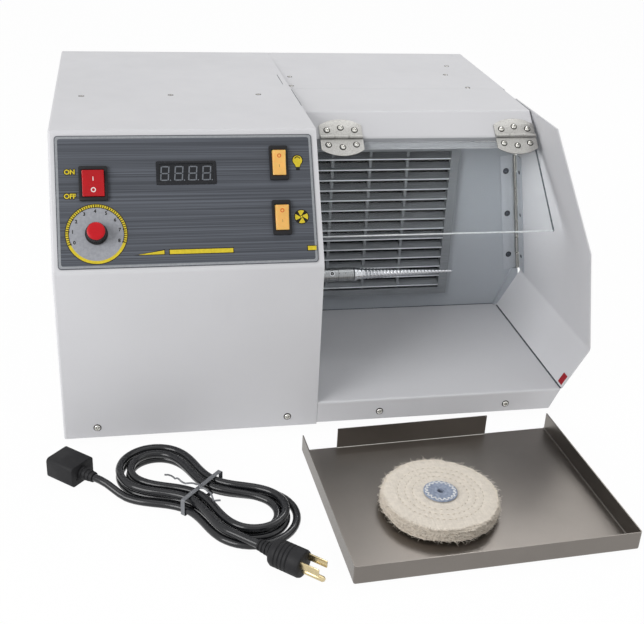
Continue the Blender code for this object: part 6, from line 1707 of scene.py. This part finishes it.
@dataclass
class ControlPanel:
    """The label's print, the switches, the display and the dial with its knob."""

    machine: Machine
    label_low: tuple[float, float] = (0.0053, 0.0035)
    label_size: tuple[float, float] = (0.2295, 0.1193)
    label_top: float = 0.0008
    gap: float = 0.0003
    border_inset: float = 0.0007
    border_width: float = 0.0021
    film: float = 0.00006
    dial: tuple[float, float] = (0.0390, 0.0343)
    ring_outer: float = 0.0270
    ring_inner: float = 0.0238
    scale_first: float = 201.0
    scale_last: float = -18.0
    display: tuple[float, float] = (0.1195, 0.0880)
    window: tuple[float, float] = (0.0526, 0.0208)
    digit: tuple[float, float] = (0.0078, 0.0134)
    digit_pitch: float = 0.0124
    stroke: float = 0.0011
    bezel_height: float = 0.0022
    pivot_depth: float = 0.0012
    centre_rise: float = 0.0030
    end_rise: float = 0.0044
    tilt: float = math.radians(10)
    switches: tuple[RockerSwitch, ...] = field(
        default=(
            RockerSwitch(
                "main_switch", Body.MAIN, (0.0379, 0.0793), (0.0250, 0.0310), (0.0190, 0.0230),
                "red_rocker", -0.0057, 0.0040, 0.0022, 0.0036, "white_ink", "white_ink",
            ),
            RockerSwitch(
                "light_switch", Body.LIGHT, (0.2032, 0.0957), (0.0170, 0.0320), (0.0120, 0.0225),
                "amber_rocker", 0.0062, -0.0030, 0.0018, 0.0026, "orange_ink", "pale_ink",
            ),
            RockerSwitch(
                "fan_switch", Body.FAN, (0.2032, 0.0451), (0.0170, 0.0320), (0.0120, 0.0225),
                "amber_rocker", 0.0062, -0.0030, 0.0018, 0.0026, "orange_ink", "pale_ink",
            ),
        )
    )

    def print_film(self, name: str, parts: Sequence[tuple[Outline, Sequence[Outline]]], ink: str, layer: int = 1) -> None:
        """Print flat shapes on the label.

        Args:
            name: The piece's name.
            parts: Outlines, each with its holes.
            ink: The ink's name.
            layer: How many films high the print lies.
        """
        low, high = self.label_top - self.film, self.label_top + self.film * layer
        meshes = [(plate(outline, low, high, holes), None) for outline, holes in parts]
        self.machine.add(name, merged(*meshes), ink, matrix=self.machine.panel)

    def letters(self, name: str, text: str, place: tuple[float, float], height: float) -> None:
        """Print letters in yellow on a dark outline."""
        for suffix, weight, ink, layer in (("_edge", 0.00085, "black_ink", 1), ("_fill", 0.00022, "yellow_ink", 2)):
            low, high = self.label_top - self.film, self.label_top + self.film * layer
            bm = lettering(text, height, low, high, weight)
            place_matrix = self.machine.panel @ Matrix.Translation((*place, 0))
            self.machine.add(name + suffix, bm, ink, matrix=place_matrix)

    def label_print(self) -> None:
        """Print the border, the bars and the plain symbols."""
        width, height = self.label_size
        centre = (self.label_low[0] + width / 2, self.label_low[1] + height / 2)
        outer = (width - 2 * self.border_inset, height - 2 * self.border_inset)
        inner = (outer[0] - 2 * self.border_width, outer[1] - 2 * self.border_width)
        frame = (rectangle(centre, outer, 0.0026), [rectangle(centre, inner, 0.0019)])
        self.print_film("label_border", [frame], "border_ink")
        right = self.label_low[0] + width - self.border_inset
        bars = (((0.1010, 0.0140), (0.1585, 0.0192)), ((0.2248, 0.0140), (right, 0.0192)))
        edges, fills = [], []
        for low, high in bars:
            middle = ((low[0] + high[0]) / 2, (low[1] + high[1]) / 2)
            size = (high[0] - low[0], high[1] - low[1])
            edges.append((rectangle(middle, size), []))
            fills.append((rectangle(middle, (size[0] - 0.0014, size[1] - 0.0014)), []))
        wedge = [(0.0700, 0.0142), (0.0975, 0.0142), (0.0975, 0.0192)]
        edges.append((wedge, []))
        fills.append(([(0.0742, 0.0148), (0.0969, 0.0148), (0.0969, 0.0182)], []))
        self.print_film("bars_edge", edges, "black_ink")
        self.print_film("bars_fill", fills, "yellow_ink", 2)
        self.letters("mark_on", "ON", (0.0178, 0.0899), 0.0042)
        self.letters("mark_off", "OFF", (0.0175, 0.0682), 0.0042)

    def symbols(self) -> None:
        """Print a plain lamp and a plain four-blade fan beside their switches."""
        x, y = 0.2207, 0.0967
        glass = arc((x, y + 0.0016), 0.0052, -52, 232, 30)
        outline = [*glass, (x - 0.0020, y - 0.0056), (x + 0.0020, y - 0.0056)]
        inner = [(x + (px - x) * 0.84, y + 0.0006 + (py - y - 0.0006) * 0.86) for px, py in outline]
        base = rectangle((x, y - 0.0068), (0.0036, 0.0020), 0.0005)
        glow = [(band((x, y + 0.0022), 0.0020, 0.0029, 20, 160, 14), [])]
        self.print_film("lamp_symbol_edge", [(outline, []), (base, [])], "black_ink")
        self.print_film("lamp_symbol_fill", [(inner, [])], "yellow_ink", 2)
        self.print_film("lamp_symbol_glow", glow, "black_ink", 3)
        x, y = 0.2214, 0.0456
        self.print_film("fan_symbol_disc", [(circle((x, y), 0.0068), [])], "black_ink")
        blades = []
        for index in range(4):
            turn = 90 * index
            lead = arc((x, y), 0.0060, turn - 26, turn + 30, 10)
            root = arc((x, y), 0.0014, turn + 52, turn - 4, 6)
            blades.append((lead + root, []))
        self.print_film("fan_symbol_blades", [*blades, (circle((x, y), 0.0009, 20), [])], "yellow_ink", 2)

    def dial_print(self) -> None:
        """Print the dial: silver disc, yellow ring, ticks and figures."""
        hole = circle(self.dial, 0.0050, 40)
        self.print_film("dial_disc", [(circle(self.dial, self.ring_inner), [hole])], "dial_silver")
        ring = (circle(self.dial, self.ring_outer - 0.0004, 96), [circle(self.dial, self.ring_inner, 96)])
        self.print_film("dial_ring", [ring], "yellow_ink")
        lines = [(circle(self.dial, self.ring_outer, 96), [circle(self.dial, self.ring_outer - 0.0006, 96)])]
        sweep = self.scale_last - self.scale_first
        top = (self.scale_last - 3, self.scale_first + 3)
        lines.append((band(self.dial, self.ring_inner - 0.0004, self.ring_inner + 0.0002, top[0], top[1], 80), []))
        count, per_figure = 48, 6
        for index in range(count + 1):
            angle = math.radians(self.scale_first + sweep * index / count)
            long = index % per_figure == 0
            inner = self.ring_inner - (0.0008 if long else 0.0)
            width = 0.00044 if long else 0.00032
            along = Vector((math.cos(angle), math.sin(angle)))
            side = Vector((-along.y, along.x)) * width
            middle = Vector(self.dial)
            corners = [middle + along * inner - side, middle + along * (self.ring_outer - 0.0008) - side]
            corners += [middle + along * (self.ring_outer - 0.0008) + side, middle + along * inner + side]
            lines.append(([tuple(corner) for corner in corners], []))
        self.print_film("dial_lines", lines, "black_ink", 2)
        figures = []
        low, high = self.label_top - self.film, self.label_top + 2 * self.film
        for value in range(count // per_figure + 1):
            angle = self.scale_first + sweep * value / (count // per_figure)
            turn = math.radians(angle)
            reach = self.ring_inner - 0.0034
            place = (self.dial[0] + reach * math.cos(turn), self.dial[1] + reach * math.sin(turn), 0)
            figures.append((lettering(str(value), 0.0030, low, high, 0.00016), Matrix.Translation(place)))
        self.machine.add("dial_figures", merged(*figures), "black_ink", matrix=self.machine.panel)

    def display_face(self) -> None:
        """Build the window's rounded frame and the four unlit figures behind it."""
        machine = self.machine
        outer = rectangle(self.display, (self.window[0] + 0.0010, self.window[1] + 0.0010), 0.0022, 8)
        inner = rectangle(self.display, (self.window[0] - 0.0044, self.window[1] - 0.0040), 0.0012, 8)
        frame = plate(outer, 0.0002, self.label_top + 0.0004, [inner], 0.00015)
        machine.add("display_frame", frame, "display_window", matrix=machine.panel)
        width, height = self.digit
        half, stroke, nick = height / 2, self.stroke, 0.0003
        across = rectangle((0, 0), (width - 2 * stroke - nick, stroke), 0.0)
        parts = []
        top = self.label_top - 0.00034
        for index in range(4):
            x = self.display[0] + (index - 1.5) * self.digit_pitch - 0.0005
            shear = Matrix(((1, 0.09, 0, x), (0, 1, 0, self.display[1] - 0.0003), (0, 0, 1, 0), (0, 0, 0, 1)))
            for level in (-1, 0, 1):
                bar = [(px, py + level * (half - stroke / 2)) for px, py in across]
                parts.append((plate(bar, top - 0.0001, top), shear))
            for side in (-1, 1):
                for level in (-1, 1):
                    upright = rectangle((side * (width - stroke) / 2, level * half / 2), (stroke, half - stroke / 2 - nick))
                    parts.append((plate(upright, top - 0.0001, top), shear))
            dot = circle((width / 2 + 0.0014, -half + 0.0005), 0.0006, 16)
            parts.append((plate(dot, top - 0.0001, top), shear))
        machine.add("display_figures", merged(*parts), "unlit_segment", matrix=machine.panel)

    def switch(self, kind: RockerSwitch) -> None:
        """Build a switch's rounded case and the marks on its rocker."""
        machine = self.machine
        place = machine.panel @ Matrix.Translation((*kind.centre, 0))
        base = self.label_top + self.gap
        rim = base + self.bezel_height
        pocket = (kind.rocker[0] + 0.0006, kind.rocker[1] + 0.0018)
        opening = rectangle((0, 0), pocket, 0.0004, 3)
        collar = plate(rectangle((0, 0), kind.bezel, 0.0016), base - 0.0002, rim, [opening], 0.0005)
        sleeve_size = (kind.bezel[0] - 0.0042, kind.bezel[1] - 0.0042)
        sleeve = plate(rectangle((0, 0), sleeve_size, 0.0006), -0.0200, rim - 0.0010, [opening])
        floor = plate(rectangle((0, 0), sleeve_size, 0.0006), -0.0203, rim - 0.0090)
        tabs = [
            block((-0.0024, shift - 0.0004, -0.0280), (0.0024, shift + 0.0004, -0.0190), 0.0002)
            for shift in (-sleeve_size[1] / 4, sleeve_size[1] / 4)
        ]
        case = merged(*((bm, None) for bm in (collar, sleeve, floor, *tabs)))
        machine.add(kind.title + "_case", case, "black_plastic", Body.MACHINE, place, [kind.title + "_body"])
        machine.dress(kind.finish, kind.title + "_rocker")
        pivot = rim - self.pivot_depth
        across = frame_matrix(Vector((0, 0, pivot)), Vector((0, 1, 0)), Vector((0, 0, 1)), Vector((1, 0, 0)))
        half = kind.rocker[1] / 2
        lean = math.atan2(self.end_rise - self.centre_rise, half)
        for suffix, at, ink in (("_ring", kind.ring_at, kind.ring_ink), ("_bar", kind.bar_at, kind.bar_ink)):
            rise = self.centre_rise + (self.end_rise - self.centre_rise) * abs(at) / half
            facing = math.copysign(lean, at)
            seat = place @ across @ Matrix.Rotation(self.tilt, 4, "Z") @ Matrix.Translation((at, rise, 0))
            seat = seat @ Matrix.Rotation(facing, 4, "Z")
            seat = seat @ frame_matrix(Vector((0, 0, 0)), Vector((0, 0, 1)), Vector((1, 0, 0)), Vector((0, 1, 0)))
            if suffix == "_ring":
                radius = kind.ring_radius
                bm = plate(circle((0, 0), radius, 36), -0.0001, 0.00008, [circle((0, 0), radius * 0.62, 36)])
            else:
                bm = plate(rectangle((0, 0), (0.0007, kind.bar_length)), -0.0001, 0.00008)
            machine.add(kind.title + suffix, bm, ink, kind.body, seat)

    def knob(self) -> None:
        """Build the fluted knob and its red cap."""
        machine = self.machine
        place = machine.panel @ Matrix.Translation((*self.dial, 0))
        bottom, top, neck, skirt = 0.0016, 0.0140, 0.0086, 0.0098
        flutes, per_flute = 30, 6
        steps = flutes * per_flute
        levels = [(skirt - 0.0003, bottom, 0.0), (skirt, bottom + 0.0004, 0.0), (skirt, bottom + 0.0016, 0.0)]
        levels += [(skirt - 0.0006, bottom + 0.0023, 0.0), (neck + 0.0001, bottom + 0.0028, 0.6), (neck, bottom + 0.0036, 1.0)]
        levels += [(neck - 0.0001, top - 0.0016, 1.0), (neck - 0.0003, top - 0.0008, 0.4), (neck - 0.0007, top - 0.0002, 0.0)]
        levels += [(neck - 0.0012, top, 0.0)]
        bm = bmesh.new()
        rows = []
        for radius, height, share in levels:
            ring = []
            for step in range(steps):
                angle = 2 * math.pi * step / steps
                dip = 0.00042 * share * (0.5 - 0.5 * math.cos(flutes * angle)) ** 2
                ring.append(bm.verts.new(((radius - dip) * math.cos(angle), (radius - dip) * math.sin(angle), height)))
            rows.append(ring)
        for one, two in zip(rows, rows[1:]):
            for step in range(steps):
                after = (step + 1) % steps
                bm.faces.new((one[step], one[after], two[after], two[step]))
        bm.faces.new(rows[0][::-1])
        bm.faces.new(rows[-1])
        bmesh.ops.recalc_face_normals(bm, faces=bm.faces)
        machine.add("fluted_knob", bm, "black_plastic", Body.KNOB, place, ["speed_knob"])
        cap = [(0, top + 0.0013), (0.0050, top + 0.00128), (0.0071, top + 0.0012), (0.0077, top + 0.0009)]
        cap += [(0.0078, top + 0.0003), (0.0078, top - 0.0002), (0, top - 0.0002)]
        machine.add("red_button", turned(cap, 56), "red_cap", Body.KNOB, place, ["knob_cap"])

    def build(self) -> None:
        """Build the whole panel."""
        self.machine.dress("label_foil", "control_label")
        self.machine.dress("display_window", "display_module")
        self.label_print()
        self.symbols()
        self.dial_print()
        self.display_face()
        for kind in self.switches:
            self.switch(kind)
        self.knob()


@dataclass
class Buff:
    """The stitched cloth buff on the tray, with its frayed edge and fibre centre."""

    machine: Machine
    centre: tuple[float, float] = (0.3250, -0.1360)
    radius: float = 0.0520
    low: float = 0.0027
    high: float = 0.0177
    hole: float = 0.0050
    plies: int = 11
    angles: int = 300
    stitch_rings: tuple[float, ...] = (0.0245, 0.0310, 0.0375)
    strands: int = 1500
    centre_radius: float = 0.0150
    centre_flange: float = 0.0011

    def dip(self, radius: float) -> float:
        """Return how far the stitches draw the face in at a radius."""
        return sum(0.00035 * math.exp(-(((radius - ring) / 0.0013) ** 2)) for ring in self.stitch_rings)

    def face_height(self, radius: float, angle: float) -> float:
        """Return the cloth's rise at a place on its face, from puckers and soft lumps."""
        here = Vector((radius * math.cos(angle), radius * math.sin(angle), 0))
        lump = 0.0005 * noise.noise(here * 90) + 0.0003 * noise.noise(here * 260 + Vector((3, 1, 5)))
        pucker = 0.00010 * math.sin(angle * 46 + 6 * noise.noise(here * 60)) * min(1.0, radius / self.radius)
        droop = 0.0011 * max(0.0, (radius - 0.042) / 0.010) ** 2
        return lump + pucker - self.dip(radius) - droop

    def rim_radius(self, ply: int, angle: float) -> float:
        """Return how far one ply reaches at an angle, ragged and uneven."""
        way = Vector((math.cos(angle), math.sin(angle), ply * 1.7))
        broad = noise.noise(way * 1.9) * 0.0016
        fine = noise.noise(way * 9 + Vector((0, 0, ply * 3.1))) * 0.0011 + noise.noise(way * 30) * 0.0008
        return self.radius - 0.0008 + broad + fine

    def cloth(self) -> None:
        """Build the plies as one closed skin, open between their edges."""
        bm = bmesh.new()
        thick = (self.high - self.low) / self.plies
        levels: list[tuple[float, float, int, float]] = []
        face_steps = 44
        for step in range(face_steps + 1):
            share = step / face_steps
            levels.append((self.hole + (self.radius - 0.0022 - self.hole) * share, self.high - 0.0006, -1, 1.0))
        for ply in range(self.plies):
            top = self.high - ply * thick
            for at, reach in ((0.14, -0.0005), (0.5, 0.0), (0.86, -0.0005)):
                levels.append((reach, top - thick * at, ply, 0.0))
            if ply < self.plies - 1:
                levels.append((-0.0038 if ply % 2 else -0.0022, top - thick, ply, 0.0))
        for step in range(face_steps, -1, -1):
            share = step / face_steps
            levels.append((self.hole + (self.radius - 0.0022 - self.hole) * share, self.low + 0.0005, -1, -0.6))
        rows = []
        for radius, height, ply, share in levels:
            row = []
            for step in range(self.angles):
                angle = 2 * math.pi * step / self.angles
                if ply < 0:
                    reach, z = radius, height + share * self.face_height(radius, angle)
                else:
                    reach = self.rim_radius(ply, angle) + radius
                    sway = 0.0005 * noise.noise(Vector((math.cos(angle) * 4, math.sin(angle) * 4, ply * 0.8)))
                    squeeze = 1 - 0.10 * abs(2 * (ply + 0.5) / self.plies - 1)
                    z = (height - (self.high + self.low) / 2) * squeeze + (self.high + self.low) / 2 + sway
                row.append(bm.verts.new((reach * math.cos(angle), reach * math.sin(angle), max(z, self.low - 0.0003))))
            rows.append(row)
        for one, two in zip(rows, rows[1:] + rows[:1]):
            for step in range(self.angles):
                after = (step + 1) % self.angles
                bm.faces.new((one[step], one[after], two[after], two[step]))
        bmesh.ops.recalc_face_normals(bm, faces=bm.faces)
        cloth = self.machine.add("buff_cloth", bm, "buff_cotton", Body.BUFF, self.place, ["buff_disc"], 70)

    def fray(self) -> None:
        """Build loose yarn ends round the rim."""
        parts = []
        golden = math.pi * (3 - math.sqrt(5))
        for index in range(self.strands):
            angle = index * golden
            pick = noise.noise(Vector((index * 0.37, 1.5, 0.2))) * 0.5 + 0.5
            lift = noise.noise(Vector((index * 0.61, 7.5, 3.2)))
            ply = (index * 7) % self.plies
            z = self.high - (ply + 0.5) * (self.high - self.low) / self.plies
            start = self.rim_radius(ply, angle) - 0.0014
            length = 0.0020 + 0.0044 * pick**2
            radial = Vector((math.cos(angle), math.sin(angle), 0))
            side = Vector((-radial.y, radial.x, 0))
            lean = noise.noise(Vector((index * 0.83, 2.1, 9.4)))
            root = radial * start + Vector((0, 0, z))
            bend = radial * (length * 0.7) + side * (length * lean) + Vector((0, 0, length * 0.6 * lift))
            tip = radial * length * 0.85 + side * (length * lean * 2.4) + Vector((0, 0, length * 1.1 * lift - 0.0005))
            path = [root, root + bend * 0.55, root + bend, root + (bend + tip) * 0.62]
            for point in path:
                point.z = max(point.z, 0.0014)
                flat = Vector((point.x, point.y, 0))
                if flat.length > self.radius + 0.0028:
                    flat = flat.normalized() * (self.radius + 0.0028)
                    point.x, point.y = flat.x, flat.y
            parts.append((tube(path, lambda share: 0.00026 * (1 - 0.7 * share), 3), None))
        self.machine.add("buff_fray", merged(*parts), "buff_cotton", Body.BUFF, self.place, smooth=80)

    def stitches(self) -> None:
        """Sew the rings of thread that hold the plies together."""
        parts = []
        for ring in self.stitch_rings:
            count = round(2 * math.pi * ring / 0.0052)
            for index in range(count):
                first = 2 * math.pi * index / count
                span = 0.0030 / ring
                path = []
                for step in range(6):
                    angle = first + span * step / 5
                    hump = math.sin(math.pi * step / 5)
                    height = self.high - 0.0006 + self.face_height(ring, angle) - 0.00018 + 0.00042 * hump
                    path.append(Vector((ring * math.cos(angle), ring * math.sin(angle), height)))
                parts.append((tube(path, lambda share: 0.00024 * (0.5 + math.sin(math.pi * share) / 2), 6), None))
        self.machine.add("buff_stitches", merged(*parts), "stitch_thread", Body.BUFF, self.place)

    def core(self) -> None:
        """Build the fibre discs and the scalloped ring of white thread on them."""
        low, high = self.low - 0.0003, self.high + 0.0003
        radius, flange = self.centre_radius, self.centre_flange
        profile = [(0.0030, high + flange), (radius - 0.0005, high + flange), (radius, high + flange - 0.0004)]
        profile += [(radius, high), (0.0046, high), (0.0046, low), (radius, low), (radius, low - flange + 0.0004)]
        profile += [(radius - 0.0005, low - flange), (0.0030, low - flange)]
        disc = turned(profile, 72, closed=True)
        self.machine.add("centre_discs", disc, "centre_fibre", Body.BUFF, self.place, ["buff_centre"])
        petals = 18
        parts = []
        top = high + flange
        for index in range(petals):
            middle = 2 * math.pi * index / petals
            path = []
            for step in range(11):
                share = step / 10
                angle = middle + (share - 0.5) * 2 * math.pi / petals * 0.92
                reach = radius - 0.0040 + 0.0026 * math.sin(math.pi * share)
                path.append(Vector((reach * math.cos(angle), reach * math.sin(angle), top + 0.00002)))
            parts.append((tube(path, 0.00042, 6), None))
        self.machine.add("centre_stitches", merged(*parts), "white_thread", Body.BUFF, self.place)

    def build(self) -> None:
        """Build the buff where it lies on the tray."""
        self.place = self.machine.origin @ Matrix.Translation((*self.centre, 0))
        self.cloth()
        self.fray()
        self.stitches()
        self.core()


@dataclass
class DustTray:
    """The loose stainless tray in front of the bay."""

    machine: Machine
    centre: tuple[float, float] = (0.3495, -0.1229)
    turn: float = math.radians(2.7)
    stop_x: tuple[float, float] = (-0.0910, 0.0600)
    stop_y: float = 0.0940
    sheet: float = 0.0010
    bead: float = 0.0005

    def build(self) -> None:
        """Dress the tray and lay a thin bright tube along the fold of its stop: painted highlight."""
        machine = self.machine
        machine.dress("tray_steel", "dust_tray")
        place = machine.origin @ Matrix.Translation((*self.centre, 0)) @ Matrix.Rotation(self.turn, 4, "Z")
        start, end = (Vector((x, self.stop_y, self.sheet)) for x in self.stop_x)
        # painted highlight: bright steel tube along the fold
        bead = tube([start, (start + end) / 2, end], self.bead, 10)
        machine.add("tray_fold_highlight", bead, "screw_steel", Body.TRAY, place)


def main() -> None:
    """Build the set in order."""
    logging.basicConfig(level=logging.INFO, format="%(name)s: %(message)s")
    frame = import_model()
    machine = Machine(frame, Finishes())
    Studio().build()
    MainsLead(machine).build()
    Cabinet(machine).build()
    ExtractionBay(machine).build()
    Hinges(machine).build()
    ControlPanel(machine).build()
    DustTray(machine).build()
    Buff(machine).build()
    LOG.info("%d new pieces", machine.made)


if __name__ == "__main__":
    main()
